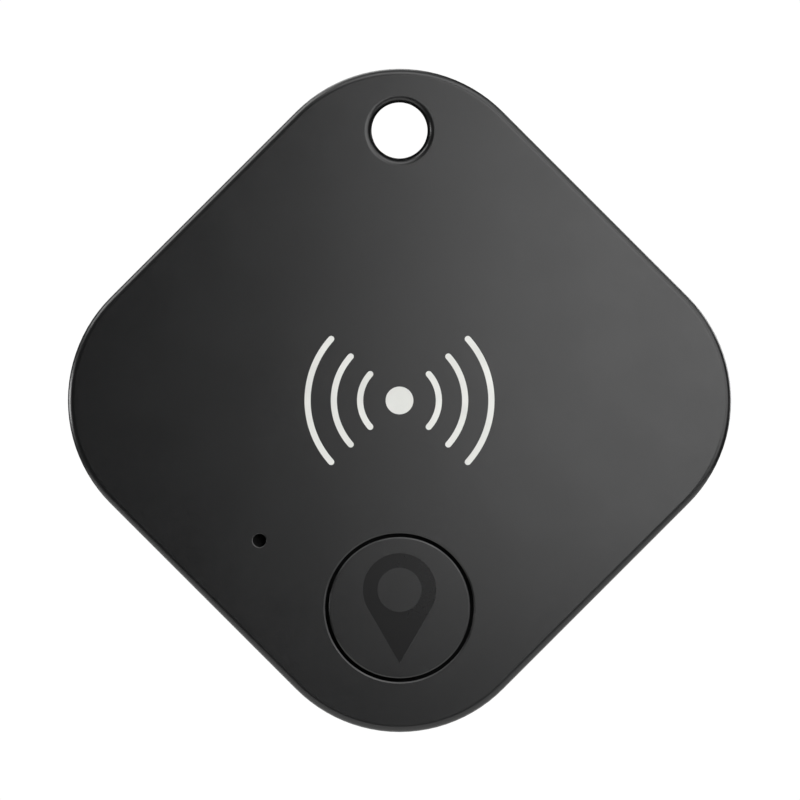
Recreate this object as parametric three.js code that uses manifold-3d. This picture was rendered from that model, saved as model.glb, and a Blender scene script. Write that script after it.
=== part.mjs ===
// Bluetooth tracker tag: a diamond-shaped plastic case on its corner, with a lanyard hole, a push
// button, a sound port, a turn-to-open battery door and the electronics inside.
//
// Millimetres. The pieces are drawn about the middle of the case, with x to the right, y up and
// z towards the front. The tag group stands that frame upright (+Z up, front towards -Y) and puts
// the origin at the middle of the lanyard hole.

import * as THREE from 'three';
import { mergeVertices } from 'three/addons/utils/BufferGeometryUtils.js';
import Module from 'manifold-3d';

const wasm = await Module();
wasm.setup();

// ---------------------------------------------------------------- driving dimensions

// Case
const ACROSS_FLATS = 38.0;
const CORNER_RADIUS = 10.0;
const THICKNESS = 8.0;
const WALL = 1.2;
const EDGE_RADIUS = 0.5;
const FRONT = THICKNESS / 2;
const BACK = -THICKNESS / 2;
const INSIDE_FRONT = FRONT - WALL;
const INSIDE_BACK = BACK + WALL;

// Joint between the two shells: the rear shell's tongue enters a rebate in the front shell
const PARTING = -1.0;
const PARTING_GROOVE = 0.15;
const REBATE = 0.6;
const TONGUE_HEIGHT = 0.95;
const FIT = 0.05;
const SNAP_LENGTH = 8.0;
const SNAP_HEIGHT = 0.3;
const SNAP_DEPTH = 0.2;
const SNAP_LOW = PARTING + 0.4;

// Lanyard hole, on the upper corner
const LANYARD_RISE = 18.5;
const LANYARD_RADIUS = 1.95;
const LANYARD_MOUTH = 2.06;
const LANYARD_FILLET = 0.38;
const LANYARD_BOSS = 3.2;

// Push button, towards the lower corner
const BUTTON_DROP = 14.2;
const BUTTON_OPENING = 5.07;
const BUTTON_CHAMFER = 0.13;
const BUTTON_CAP = 4.87;
const BUTTON_FILLET = 0.1;
const BUTTON_FLANGE = 5.5;
const BUTTON_FLANGE_THICK = 0.5;
const BUTTON_CROWN = 1.0;
const BUTTON_WALL = 0.9;
const BUTTON_STEM = 1.2;
const KEY_WIDTH = 1.2;
const KEY_REACH = 6.1;

// Map-pin icon sunk into the button
const PIN_DEPTH = 0.05;
const PIN_HEAD_RISE = 1.22;
const PIN_HEAD_RADIUS = 2.51;
const PIN_EYE_RADIUS = 1.515;
const PIN_TIP_DROP = 3.8;

// Sound port and buzzer, on the lower left diagonal
const PORT_REACH = 13.56;
const PORT_RADIUS = 0.44;
const PORT_FILLET = 0.1;
const BUZZER_SIDE = 7.5;
const BUZZER_HEIGHT = 2.5;
const BUZZER_REACH = 13.4;

// Coin cell, 20 mm across and 3.2 mm thick, with its lid towards the front
const CELL_RISE = 1.6;
const CELL_RADIUS = 10.0;
const CELL_THICK = 3.2;
const CELL_FRONT = 2.1;
const CELL_BACK = CELL_FRONT - CELL_THICK;
const FENCE_GAP = 0.3;
const FENCE_THICK = 0.45;
const FENCE_FOOT = 0.3;
const LID_RADIUS = 8.85;
const LID_PROUD = 0.3;

// Circuit board
const BOARD_FRONT = 0.0;
const BOARD_THICK = 0.8;
const BOARD_BACK = BOARD_FRONT - BOARD_THICK;
const BOARD_INSET = 1.8;
const BOARD_CELL_HOLE = 10.6;
const POST_RADIUS = 0.55;
const POST_HOLE = 0.7;
const POST_SHOULDER = 1.0;
const POST_PROUD = 0.4;
const POSTS = [[12.6, 8.6], [-12.6, 8.6], [6.8, -14.6], [-6.8, -14.6]];
const SOLDER = 0.05;
const CONTACT_THICK = 0.2;

// Tact switch under the button
const SWITCH_SIDE = 5.0;
const SWITCH_BASE_TOP = 0.85;
const SWITCH_COVER_TOP = 1.03;
const SWITCH_PLUNGER_TOP = 1.55;

// Battery door: a bayonet disc with three lugs, lifted along a helix as it turns
const DOOR_RADIUS = 12.9;
const DOOR_RECESS = 13.0;
const DOOR_SHELF = -2.6;
const DOOR_RIM_THICK = 0.8;
const DOOR_CORE_RADIUS = 10.2;
const SKIRT_INNER = 10.25;
const SKIRT_OUTER = 10.9;
const SKIRT_FRONT = -1.05;
const LUG_REACH = 11.75;
const LUG_THICK = 0.6;
const LUG_ANGLE = 20;
const TAB_INNER = 11.0;
const TAB_ANGLE = 28;
const COLLAR_BORE = 11.9;
const COLLAR_OUTER = 13.7;
const COLLAR_FRONT = -0.95;
const DOOR_LEAD = 8.0;
const COIN_SLOT_LENGTH = 13.0;
const COIN_SLOT_WIDTH = 1.8;
const COIN_SLOT_DEPTH = 0.8;
const DOOR_EDGE = 0.15;
const DOT_RADIUS = 0.4;
const DOT_DEPTH = 0.2;
const DOT_MARGIN = 1.2;
const LUG_MIDDLES = [90, 210, 330];
const SEAL_RADIUS = 12.38;
const SEAL_SECTION = 0.26;
const PAD_RADIUS = 6.0;

// Facets round a large, a medium and a small circle, and round a corner of the case
const ROUND = 40;
const MEDIUM_ROUND = 28;
const SMALL_ROUND = 14;
const CORNER_STEPS = 8;

// How far a cutting solid runs past what it cuts, and how far a rib runs into its wall
const PAST = 1;
const ROOT = 0.2;

// ---------------------------------------------------------------- solids and shapes

// A closed three.js geometry as a solid that can be joined and cut
function solid(geometry) {
  geometry.deleteAttribute('normal');
  geometry.deleteAttribute('uv');
  const merged = mergeVertices(geometry, 1e-4);
  return new wasm.Manifold(new wasm.Mesh({
    numProp: 3,
    vertProperties: new Float32Array(merged.attributes.position.array),
    triVerts: new Uint32Array(merged.index.array),
  }));
}

// A solid back as a three.js geometry
function geometryOf(body) {
  const mesh = body.getMesh();
  const positions = new Float32Array(mesh.vertProperties);
  const corners = new Uint32Array(mesh.triVerts);
  const geometry = new THREE.BufferGeometry();
  geometry.setAttribute('position', new THREE.BufferAttribute(positions, 3));
  geometry.setIndex(new THREE.BufferAttribute(corners, 1));
  return geometry;
}

// The first solid with every other one joined to it, or cut from it
const join = (first, ...others) => others.reduce((whole, other) => whole.add(other), first);
const cut = (first, ...others) => others.reduce((whole, other) => whole.subtract(other), first);

// The case's outline, a rounded square on its corner, brought in by inset
function diamond(inset) {
  const radius = CORNER_RADIUS - inset;
  const reach = (ACROSS_FLATS / 2 - CORNER_RADIUS) * Math.SQRT2;
  const shape = new THREE.Shape();
  for (let corner = 0; corner < 4; corner += 1) {
    const middle = corner * Math.PI / 2;
    const x = reach * Math.cos(middle);
    const y = reach * Math.sin(middle);
    shape.absarc(x, y, radius, middle - Math.PI / 4, middle + Math.PI / 4, false);
  }
  shape.closePath();
  return shape;
}

// A flat solid with the outline of a shape, from z = low to z = high
function plate(shape, low, high, segments = ROUND / 4) {
  const geometry = new THREE.ExtrudeGeometry(shape, {
    depth: high - low,
    bevelEnabled: false,
    curveSegments: segments,
  });
  geometry.translate(0, 0, low);
  return solid(geometry);
}

function disc(radius, low, high, x = 0, y = 0, segments = ROUND) {
  const geometry = new THREE.CylinderGeometry(radius, radius, high - low, segments);
  geometry.rotateX(Math.PI / 2);
  geometry.translate(x, y, (low + high) / 2);
  return solid(geometry);
}

function tube(inner, outer, low, high, x = 0, y = 0, segments = ROUND) {
  return cut(
    disc(outer, low, high, x, y, segments),
    disc(inner, low - PAST, high + PAST, x, y, segments),
  );
}

// A box between two corners, turned by an angle about the z axis through (0, 0)
function box(x0, x1, y0, y1, z0, z1, angle = 0) {
  const geometry = new THREE.BoxGeometry(x1 - x0, y1 - y0, z1 - z0);
  geometry.translate((x0 + x1) / 2, (y0 + y1) / 2, (z0 + z1) / 2);
  geometry.rotateZ(angle);
  return solid(geometry);
}

// A solid turned about the z axis through (x, y). The profile is a list of [radius, z] points,
// anticlockwise with radius to the right and z up, which closes on itself or on the axis.
function turned(profile, x = 0, y = 0, segments = ROUND) {
  const points = profile.map(([radius, z]) => new THREE.Vector2(radius, z));
  const geometry = new THREE.LatheGeometry(points, segments);
  geometry.rotateX(Math.PI / 2);
  geometry.translate(x, y, 0);
  return solid(geometry);
}

// The same for a ring, whose profile comes back to its first point
const turnedRing = (profile, x, y, segments) => turned([...profile, profile[0]], x, y, segments);

// Points of an arc, angles in degrees
function arc(x, y, radius, from, to, steps) {
  return Array.from({ length: steps + 1 }, (_, step) => {
    const angle = THREE.MathUtils.degToRad(from + (to - from) * step / steps);
    return [x + radius * Math.cos(angle), y + radius * Math.sin(angle)];
  });
}

// A sector of a ring as a shape, angles in degrees
function sector(inner, outer, from, to, steps = 8) {
  const points = [
    ...arc(0, 0, outer, from, to, steps),
    ...arc(0, 0, inner, to, from, steps),
  ];
  return new THREE.Shape(points.map(([x, y]) => new THREE.Vector2(x, y)));
}

// A strip of constant thickness along a line of points, as a shape
function ribbon(points, thickness) {
  const line = points.map(([x, y]) => new THREE.Vector2(x, y));
  const side = (sign) => line.map((point, index) => {
    const before = line[Math.max(index - 1, 0)];
    const after = line[Math.min(index + 1, line.length - 1)];
    const into = (index > 0 ? point.clone().sub(before) : after.clone().sub(point)).normalize();
    const out = (index < line.length - 1 ? after.clone().sub(point) : into.clone()).normalize();
    const bisector = into.clone().add(out).normalize();
    const normal = new THREE.Vector2(-bisector.y, bisector.x);
    const reach = thickness / 2 / Math.max(bisector.dot(into), 0.3);
    return point.clone().addScaledVector(normal, sign * reach);
  });
  return new THREE.Shape([...side(-1), ...side(1).reverse()]);
}

// The whole outside of the case with its rounded edges, front and back
function caseBlock() {
  const geometry = new THREE.ExtrudeGeometry(diamond(0), {
    depth: THICKNESS - 2 * EDGE_RADIUS,
    bevelThickness: EDGE_RADIUS,
    bevelSize: EDGE_RADIUS,
    bevelOffset: -EDGE_RADIUS,
    bevelSegments: 3,
    curveSegments: CORNER_STEPS,
  });
  geometry.translate(0, 0, BACK + EDGE_RADIUS);
  return solid(geometry);
}

// The part of that block between two heights
function caseSlice(low, high) {
  const side = ACROSS_FLATS;
  return caseBlock().intersect(box(-side, side, -side, side, low, high));
}

// The space that the lanyard hole takes, with its rounded mouths
function lanyardBore() {
  const mouth = LANYARD_MOUTH + LANYARD_FILLET;
  const start = FRONT - LANYARD_FILLET;
  const lower = arc(mouth, -start, LANYARD_FILLET, 270, 180, 3);
  const upper = arc(mouth, start, LANYARD_FILLET, 180, 90, 3);
  return turned([
    [0, BACK - PAST], [mouth, BACK - PAST], ...lower, [LANYARD_RADIUS, 0], ...upper,
    [mouth, FRONT + PAST], [0, FRONT + PAST],
  ], 0, LANYARD_RISE, MEDIUM_ROUND);
}

// ---------------------------------------------------------------- materials

function plastic(color, roughness) {
  return new THREE.MeshStandardMaterial({ color, roughness, metalness: 0 });
}

function metal(color, roughness) {
  return new THREE.MeshStandardMaterial({ color, roughness, metalness: 1 });
}

const shellPlastic = plastic(0x2c2d2f, 0.5);
const buttonPlastic = plastic(0x2c2d2f, 0.5);
const sealRubber = plastic(0x202020, 0.8);
const padFoam = plastic(0x3b3b3d, 0.95);
const boardGreen = plastic(0x1d4a33, 0.5);
const chipBlack = plastic(0x1a1a1c, 0.6);
const ceramicTan = plastic(0xb59a78, 0.5);
const switchBlack = plastic(0x18181a, 0.5);
const meshBlack = plastic(0x1e1e20, 0.9);
const steel = metal(0xb9bbbd, 0.3);
const nickel = metal(0xc8c4b8, 0.35);
const copper = metal(0xb4693a, 0.4);

// ---------------------------------------------------------------- shells

// Four rails along the flats, one on each side of the outline, reaching outwards from start to end
function flatRails(length, start, end, low, high) {
  const rails = [45, 135, 225, 315].map((angle) => box(
    start, end, -length / 2, length / 2, low, high, THREE.MathUtils.degToRad(angle),
  ));
  return join(...rails);
}

// Wall round the coin cell that keeps it in the middle of its contacts
function cellFence() {
  const inner = CELL_RADIUS + FENCE_GAP;
  const outer = inner + FENCE_THICK;
  const fence = tube(inner, outer, FENCE_FOOT, INSIDE_FRONT + ROOT, 0, CELL_RISE);
  const forPositive = box(-12, -8, CELL_RISE - 5, CELL_RISE + 5, 0, FRONT);
  const forNegative = box(-3.2, 3.2, CELL_RISE + 7, CELL_RISE + 12, 0, FRONT);
  const forButton = disc(KEY_REACH + 0.3, 0, FRONT, 0, -BUTTON_DROP);
  const half = BUZZER_SIDE / 2 + 0.3;
  const forBuzzer = box(
    BUZZER_REACH - half, BUZZER_REACH + half, -half, half, 0, FRONT, THREE.MathUtils.degToRad(225),
  );
  return cut(fence, forPositive, forNegative, forButton, forBuzzer);
}

// Posts that the board is threaded on, with shoulders under it
function boardPosts() {
  const posts = POSTS.map(([x, y]) => join(
    disc(POST_SHOULDER, BOARD_FRONT + FIT, INSIDE_FRONT + ROOT, x, y, SMALL_ROUND),
    disc(POST_RADIUS, BOARD_BACK - POST_PROUD, BOARD_FRONT + PAST, x, y, SMALL_ROUND),
  ));
  return join(...posts);
}

// Ribs on both sides of the button's key, which keep its icon upright
function keyRibs() {
  const near = KEY_WIDTH / 2 + 0.1;
  const far = near + 0.6;
  const top = -BUTTON_DROP - BUTTON_FLANGE - 0.15;
  const rib = (x0, x1) => box(x0, x1, top - 0.9, top, INSIDE_FRONT - 1, INSIDE_FRONT + ROOT);
  return join(rib(-far, -near), rib(near, far));
}

function frontShell() {
  const outside = caseSlice(PARTING, FRONT + 1);
  const hollow = plate(diamond(WALL), BACK, INSIDE_FRONT, CORNER_STEPS);
  const rebate = plate(diamond(REBATE), BACK, PARTING + TONGUE_HEIGHT + FIT, CORNER_STEPS);
  const rebateSide = ACROSS_FLATS / 2 - REBATE;
  const grooves = flatRails(
    SNAP_LENGTH + 0.4, rebateSide - PAST, rebateSide + SNAP_DEPTH + FIT,
    SNAP_LOW - FIT, SNAP_LOW + SNAP_HEIGHT + FIT,
  );
  const boss = disc(LANYARD_BOSS, PARTING, INSIDE_FRONT + ROOT, 0, LANYARD_RISE, MEDIUM_ROUND);
  const inside = join(cellFence(), boardPosts(), keyRibs(), boss);
  const body = join(cut(outside, hollow, rebate, grooves), inside);
  return cut(body, lanyardBore(), buttonHole(), portHole());
}

function buttonHole() {
  const mouth = BUTTON_OPENING + BUTTON_CHAMFER;
  return turned([
    [0, 0], [BUTTON_OPENING, 0], [BUTTON_OPENING, FRONT - BUTTON_CHAMFER],
    [mouth, FRONT], [mouth, FRONT + PAST], [0, FRONT + PAST],
  ], 0, -BUTTON_DROP);
}

function portHole() {
  const mouth = PORT_RADIUS + PORT_FILLET;
  const side = lowerLeft(PORT_REACH);
  return turned([
    [0, 0], [PORT_RADIUS, 0], ...arc(mouth, FRONT - PORT_FILLET, PORT_FILLET, 180, 90, 3),
    [mouth, FRONT + PAST], [0, FRONT + PAST],
  ], side, side, SMALL_ROUND);
}

// Both coordinates of a point that far from the middle on the lower left diagonal
const lowerLeft = (reach) => -reach * Math.SQRT1_2;

// One bayonet tab of the rear shell, thinned along the helix that its lug climbs. Seen from the
// front the door opens clockwise, so the ramp runs towards smaller angles.
function bayonetTab(middle) {
  const steps = 5;
  const lugTop = SKIRT_FRONT - LUG_THICK - FIT;
  const pieces = Array.from({ length: steps }, (_, step) => {
    const from = TAB_ANGLE / 2 - TAB_ANGLE * step / steps;
    const to = TAB_ANGLE / 2 - TAB_ANGLE * (step + 1) / steps;
    const turn = Math.max(-to + LUG_ANGLE / 2, 0);
    const ramp = lugTop - DOOR_LEAD * turn / 360;
    return plate(sector(TAB_INNER, COLLAR_BORE + 0.3, middle + to, middle + from, 1), DOOR_SHELF, ramp);
  });
  return join(...pieces);
}

// Bayonet seat of the battery door: a collar with three tabs, drawn about the middle of the door
function doorSeat() {
  const collar = tube(COLLAR_BORE, COLLAR_OUTER, INSIDE_BACK - ROOT, COLLAR_FRONT);
  return join(collar, ...LUG_MIDDLES.map(bayonetTab)).translate([0, CELL_RISE, 0]);
}

// Two sunk dots beside the door: its own dot points at one when it is shut and at the other when
// its lugs are free
function doorMarks() {
  const marks = [90, 90 - (TAB_ANGLE + LUG_ANGLE) / 2].map((angle) => {
    const [x, y] = arc(0, CELL_RISE, DOOR_RECESS + DOT_MARGIN, angle, angle, 1)[0];
    return disc(DOT_RADIUS, BACK - PAST, BACK + DOT_DEPTH, x, y, SMALL_ROUND);
  });
  return join(...marks);
}

function rearShell() {
  const outside = caseSlice(BACK - PAST, PARTING - PARTING_GROOVE);
  const hollow = plate(diamond(WALL), INSIDE_BACK, FRONT, CORNER_STEPS);
  const tongue = cut(
    plate(diamond(REBATE + FIT), PARTING - 0.6, PARTING + TONGUE_HEIGHT, 14),
    plate(diamond(WALL), BACK, FRONT, 14),
    disc(LANYARD_BOSS + 0.15, PARTING - FIT, FRONT, 0, LANYARD_RISE, MEDIUM_ROUND),
  );
  const tongueSide = ACROSS_FLATS / 2 - REBATE - FIT;
  const snaps = flatRails(
    SNAP_LENGTH, tongueSide - ROOT, tongueSide + SNAP_DEPTH, SNAP_LOW, SNAP_LOW + SNAP_HEIGHT,
  );
  const boss = disc(LANYARD_BOSS, INSIDE_BACK - ROOT, PARTING - FIT, 0, LANYARD_RISE, MEDIUM_ROUND);
  const bore = disc(COLLAR_BORE, BACK - PAST, FRONT, 0, CELL_RISE);
  const recess = () => disc(DOOR_RECESS, BACK - PAST, DOOR_SHELF, 0, CELL_RISE);
  const shell = cut(join(cut(outside, hollow), tongue, snaps, boss), bore, recess());
  const seat = cut(doorSeat(), recess());
  return cut(join(shell, seat), lanyardBore(), doorMarks());
}

// ---------------------------------------------------------------- button

// Outline of the map-pin icon: a round head whose sides run straight to the tip
function pinShape() {
  const reach = PIN_TIP_DROP + PIN_HEAD_RISE;
  const touch = THREE.MathUtils.radToDeg(Math.asin(PIN_HEAD_RADIUS / reach));
  const head = arc(0, PIN_HEAD_RISE, PIN_HEAD_RADIUS, -touch, 180 + touch, 20);
  const outline = [...head, [0, -PIN_TIP_DROP]];
  return new THREE.Shape(outline.map(([x, y]) => new THREE.Vector2(x, y)));
}

function buttonCap() {
  const flangeTop = INSIDE_FRONT - FIT;
  const flangeBottom = flangeTop - BUTTON_FLANGE_THICK;
  const body = turned([
    [0, flangeBottom], [BUTTON_FLANGE, flangeBottom], [BUTTON_FLANGE, flangeTop],
    [BUTTON_CAP, flangeTop],
    ...arc(BUTTON_CAP - BUTTON_FILLET, FRONT - BUTTON_FILLET, BUTTON_FILLET, 0, 90, 3),
    [0, FRONT],
  ]);
  const key = box(
    -KEY_WIDTH / 2, KEY_WIDTH / 2, -KEY_REACH, -BUTTON_FLANGE + 0.5, flangeBottom, flangeTop,
  );
  const pocket = disc(BUTTON_CAP - BUTTON_WALL, flangeBottom - PAST, FRONT - BUTTON_CROWN);
  const stem = disc(
    BUTTON_STEM, SWITCH_PLUNGER_TOP + FIT, FRONT - BUTTON_CROWN + ROOT, 0, 0, SMALL_ROUND,
  );
  const icon = cut(
    plate(pinShape(), FRONT - PIN_DEPTH, FRONT + PAST),
    disc(PIN_EYE_RADIUS, FRONT - PAST, FRONT + 2 * PAST, 0, PIN_HEAD_RISE, MEDIUM_ROUND),
  );
  return cut(join(cut(join(body, key), pocket), stem), icon).translate([0, -BUTTON_DROP, 0]);
}

// ---------------------------------------------------------------- battery door

function batteryDoor() {
  const rimFront = BACK + DOOR_RIM_THICK;
  const disk = turned([
    [0, BACK], [DOOR_RADIUS - DOOR_EDGE, BACK], [DOOR_RADIUS, BACK + DOOR_EDGE],
    [DOOR_RADIUS, rimFront],
    [SKIRT_OUTER, rimFront], [SKIRT_OUTER, SKIRT_FRONT], [SKIRT_INNER, SKIRT_FRONT],
    [SKIRT_INNER, rimFront], [DOOR_CORE_RADIUS, rimFront], [DOOR_CORE_RADIUS, DOOR_SHELF],
    [0, DOOR_SHELF],
  ]);
  const lugs = LUG_MIDDLES.map((middle) => plate(
    sector(SKIRT_INNER + ROOT, LUG_REACH, middle - LUG_ANGLE / 2, middle + LUG_ANGLE / 2, 3),
    SKIRT_FRONT - LUG_THICK, SKIRT_FRONT,
  ));
  const half = COIN_SLOT_LENGTH / 2 - COIN_SLOT_WIDTH / 2;
  const slotShape = new THREE.Shape();
  slotShape.absarc(half, 0, COIN_SLOT_WIDTH / 2, -Math.PI / 2, Math.PI / 2, false);
  slotShape.absarc(-half, 0, COIN_SLOT_WIDTH / 2, Math.PI / 2, 3 * Math.PI / 2, false);
  slotShape.closePath();
  const slot = plate(slotShape, BACK - PAST, BACK + COIN_SLOT_DEPTH, 6);
  const dot = disc(
    DOT_RADIUS, BACK - PAST, BACK + DOT_DEPTH, 0, DOOR_RADIUS - DOT_MARGIN, SMALL_ROUND,
  );
  return cut(join(disk, ...lugs), slot, dot).translate([0, CELL_RISE, 0]);
}

// Rubber ring between the door's rim and the shelf of the rear shell
function doorSeal() {
  const middle = (BACK + DOOR_RIM_THICK + DOOR_SHELF) / 2;
  return turnedRing(arc(SEAL_RADIUS, middle, SEAL_SECTION, 0, 300, 5), 0, CELL_RISE);
}

// Foam disc glued inside the door, which presses the cell onto its contact
function doorPad() {
  return disc(PAD_RADIUS, DOOR_SHELF + FIT, CELL_BACK - FIT, 0, CELL_RISE, MEDIUM_ROUND);
}

// ---------------------------------------------------------------- coin cell

// Steel can, open at the front, with its rim crimped in over the gasket
function cellCan() {
  const front = CELL_FRONT - LID_PROUD;
  return turned([
    [0, CELL_BACK], [CELL_RADIUS - 0.25, CELL_BACK], [CELL_RADIUS, CELL_BACK + 0.25],
    [CELL_RADIUS, front - 0.35], [CELL_RADIUS - 0.35, front], [LID_RADIUS + 0.4, front],
    [LID_RADIUS + 0.4, front - 0.2], [CELL_RADIUS - 0.25, front - 0.4],
    [CELL_RADIUS - 0.25, CELL_BACK + 0.3], [0, CELL_BACK + 0.3],
  ], 0, CELL_RISE);
}

// Steel lid, the cell's negative pole
function cellLid() {
  return turned([
    [0, CELL_FRONT - 0.25], [LID_RADIUS - 0.3, CELL_FRONT - 0.25], [LID_RADIUS - 0.3, CELL_BACK + 0.9],
    [LID_RADIUS, CELL_BACK + 0.9], [LID_RADIUS, CELL_FRONT - 0.25], [LID_RADIUS - 0.25, CELL_FRONT],
    [0, CELL_FRONT],
  ], 0, CELL_RISE);
}

// Plastic gasket between can and lid
function cellGasket() {
  const front = CELL_FRONT - LID_PROUD;
  return turnedRing([
    [LID_RADIUS - 0.3, CELL_BACK + 0.4], [CELL_RADIUS - 0.35, CELL_BACK + 0.4],
    [CELL_RADIUS - 0.35, front - 0.5], [LID_RADIUS + 0.3, front - 0.25],
    [LID_RADIUS + 0.3, front + 0.05], [LID_RADIUS + 0.05, front + 0.05],
    [LID_RADIUS + 0.05, CELL_BACK + 0.8], [LID_RADIUS - 0.3, CELL_BACK + 0.8],
  ], 0, CELL_RISE);
}

// What the cell holds: a pellet in the can, a separator and a lithium disc under the lid
function cellFilling(radius, low, high) {
  return disc(radius, CELL_BACK + low, CELL_BACK + high, 0, CELL_RISE, MEDIUM_ROUND);
}

const cellPellet = () => cellFilling(7.8, 0.35, 1.75);
const cellSeparator = () => cellFilling(8.3, 1.8, 1.9);
const cellLithium = () => cellFilling(7.8, 1.95, 2.9);

// Leaf spring that presses on the side of the can
function positiveContact() {
  const low = BOARD_FRONT + SOLDER;
  const bow = [
    [-11.7, CELL_RISE - 4.0], [-10.75, CELL_RISE - 2.4], [-10.2, CELL_RISE - 0.9],
    [-10.2, CELL_RISE + 0.9], [-10.75, CELL_RISE + 2.4], [-11.7, CELL_RISE + 4.0],
  ];
  const leaf = plate(ribbon(bow, CONTACT_THICK), low, 1.7);
  const feet = [-1, 1].map((side) => {
    const near = CELL_RISE + side * 3.3;
    const far = CELL_RISE + side * 4.6;
    return box(-13.6, -11.5, Math.min(near, far), Math.max(near, far), low, low + CONTACT_THICK);
  });
  return join(leaf, ...feet);
}

// Sprung strip under the cell, from its foot on the board to the middle of the lid
function negativeContact() {
  const line = [
    [14.2, BOARD_FRONT + SOLDER + CONTACT_THICK / 2], [12.8, BOARD_FRONT + SOLDER + CONTACT_THICK / 2],
    [12.4, INSIDE_FRONT - 0.2], [6.5, INSIDE_FRONT - 0.2], [2.6, CELL_FRONT + 0.14],
    [0.6, CELL_FRONT + 0.14], [-3.0, INSIDE_FRONT - 0.2],
  ];
  const width = 4.6;
  const geometry = new THREE.ExtrudeGeometry(ribbon(line, CONTACT_THICK), {
    depth: width,
    bevelEnabled: false,
  });
  geometry.translate(0, 0, -width / 2);
  const up = new THREE.Vector3(0, 1, 0);
  const forward = new THREE.Vector3(0, 0, 1);
  const right = new THREE.Vector3(1, 0, 0);
  geometry.applyMatrix4(new THREE.Matrix4().makeBasis(up, forward, right));
  return solid(geometry);
}

// ---------------------------------------------------------------- circuit board and its parts

function mainBoard() {
  const hole = (radius, x, y, segments) => disc(
    radius, BOARD_BACK - PAST, BOARD_FRONT + PAST, x, y, segments,
  );
  return cut(
    plate(diamond(BOARD_INSET), BOARD_BACK, BOARD_FRONT, CORNER_STEPS),
    hole(BOARD_CELL_HOLE, 0, CELL_RISE, ROUND),
    hole(LANYARD_BOSS + 0.4, 0, LANYARD_RISE, MEDIUM_ROUND),
    ...POSTS.map(([x, y]) => hole(POST_HOLE, x, y, SMALL_ROUND)),
  );
}

function switchBase() {
  const half = SWITCH_SIDE / 2;
  return cut(
    box(-half, half, -half, half, SOLDER, SWITCH_BASE_TOP),
    disc(1.9, 0.2, 2, 0, 0, SMALL_ROUND),
  );
}

function switchCover() {
  const half = SWITCH_SIDE / 2;
  const lid = box(-half, half, -half - 0.15, half + 0.15, SWITCH_BASE_TOP + FIT, SWITCH_COVER_TOP);
  const flaps = [-1, 1].map((side) => {
    const near = side * (half + 0.03);
    const far = side * (half + 0.15);
    return box(-2, 2, Math.min(near, far), Math.max(near, far), 0.35, SWITCH_COVER_TOP);
  });
  return cut(join(lid, ...flaps), disc(1.2, 0, 2, 0, 0, SMALL_ROUND));
}

function switchPlunger() {
  return turned([
    [0, 0.58], [1.6, 0.58], [1.6, 0.8], [1.05, 0.8], [1.05, SWITCH_PLUNGER_TOP - 0.1],
    [0.95, SWITCH_PLUNGER_TOP], [0, SWITCH_PLUNGER_TOP],
  ], 0, 0, SMALL_ROUND);
}

// Thin snap dome that the plunger pushes in
function switchDome() {
  return turned([
    [0, 0.44], [0.9, 0.38], [1.75, 0.23], [1.75, 0.31], [0.9, 0.47], [0, 0.53],
  ], 0, 0, SMALL_ROUND);
}

function switchTerminal(side) {
  const near = SWITCH_SIDE / 2 + 0.03;
  const foot = [near, near + 0.75].map((x) => side * x).sort((a, b) => a - b);
  const stand = [near, near + 0.12].map((x) => side * x).sort((a, b) => a - b);
  return join(
    box(foot[0], foot[1], -1.6, 1.6, SOLDER, SOLDER + 0.15),
    box(stand[0], stand[1], -1.6, 1.6, SOLDER, 0.6),
  );
}

// Square buzzer housing with a round chamber and a sound hole in its front
function buzzerCase() {
  const half = BUZZER_SIDE / 2;
  const corner = 0.8;
  const outline = new THREE.Shape();
  for (let quarter = 0; quarter < 4; quarter += 1) {
    const [x, y] = [[1, 1], [-1, 1], [-1, -1], [1, -1]][quarter].map((sign) => sign * (half - corner));
    outline.absarc(x, y, corner, quarter * Math.PI / 2, (quarter + 1) * Math.PI / 2, false);
  }
  outline.closePath();
  const top = SOLDER + BUZZER_HEIGHT;
  return cut(
    plate(outline, SOLDER, top, 4),
    disc(3.1, SOLDER + 0.3, top - 0.35, 0, 0, MEDIUM_ROUND),
    disc(0.9, top - PAST, top + PAST, 0, 0, SMALL_ROUND),
  );
}

// Thin steel disc with a weight in its middle, which the coil drives
function buzzerDiaphragm() {
  return turned([
    [0, 1.6], [1.2, 1.6], [1.2, 1.75], [3.0, 1.75], [3.0, 1.85], [0, 1.85],
  ], 0, 0, MEDIUM_ROUND);
}

const buzzerCoil = () => tube(0.9, 2.0, 0.4, 1.3, 0, 0, SMALL_ROUND);
const buzzerCore = () => disc(0.75, 0.4, 1.45, 0, 0, SMALL_ROUND);

// Dust mesh behind the sound port
const portMesh = () => disc(1.6, INSIDE_FRONT - 0.17, INSIDE_FRONT - FIT, 0, 0, SMALL_ROUND);

// A soldered part: a block of the given length, width and height
function component(length, width, height) {
  return box(-length / 2, length / 2, -width / 2, width / 2, SOLDER, SOLDER + height);
}

// ---------------------------------------------------------------- assembly

function piece(name, body, material, x = 0, y = 0, degrees = 0) {
  const mesh = new THREE.Mesh(geometryOf(body), material);
  mesh.name = name;
  mesh.position.set(x, y, 0);
  mesh.rotation.z = THREE.MathUtils.degToRad(degrees);
  return mesh;
}

function group(x, y, degrees, ...pieces) {
  const holder = new THREE.Group();
  holder.position.set(x, y, 0);
  holder.rotation.z = THREE.MathUtils.degToRad(degrees);
  holder.add(...pieces);
  return holder;
}

const tactSwitch = () => group(
  0, -BUTTON_DROP, 0,
  piece('switch_base', switchBase(), switchBlack),
  piece('switch_cover', switchCover(), steel),
  piece('switch_plunger', switchPlunger(), switchBlack),
  piece('switch_dome', switchDome(), steel),
  piece('switch_terminal_left', switchTerminal(-1), nickel),
  piece('switch_terminal_right', switchTerminal(1), nickel),
);

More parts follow.
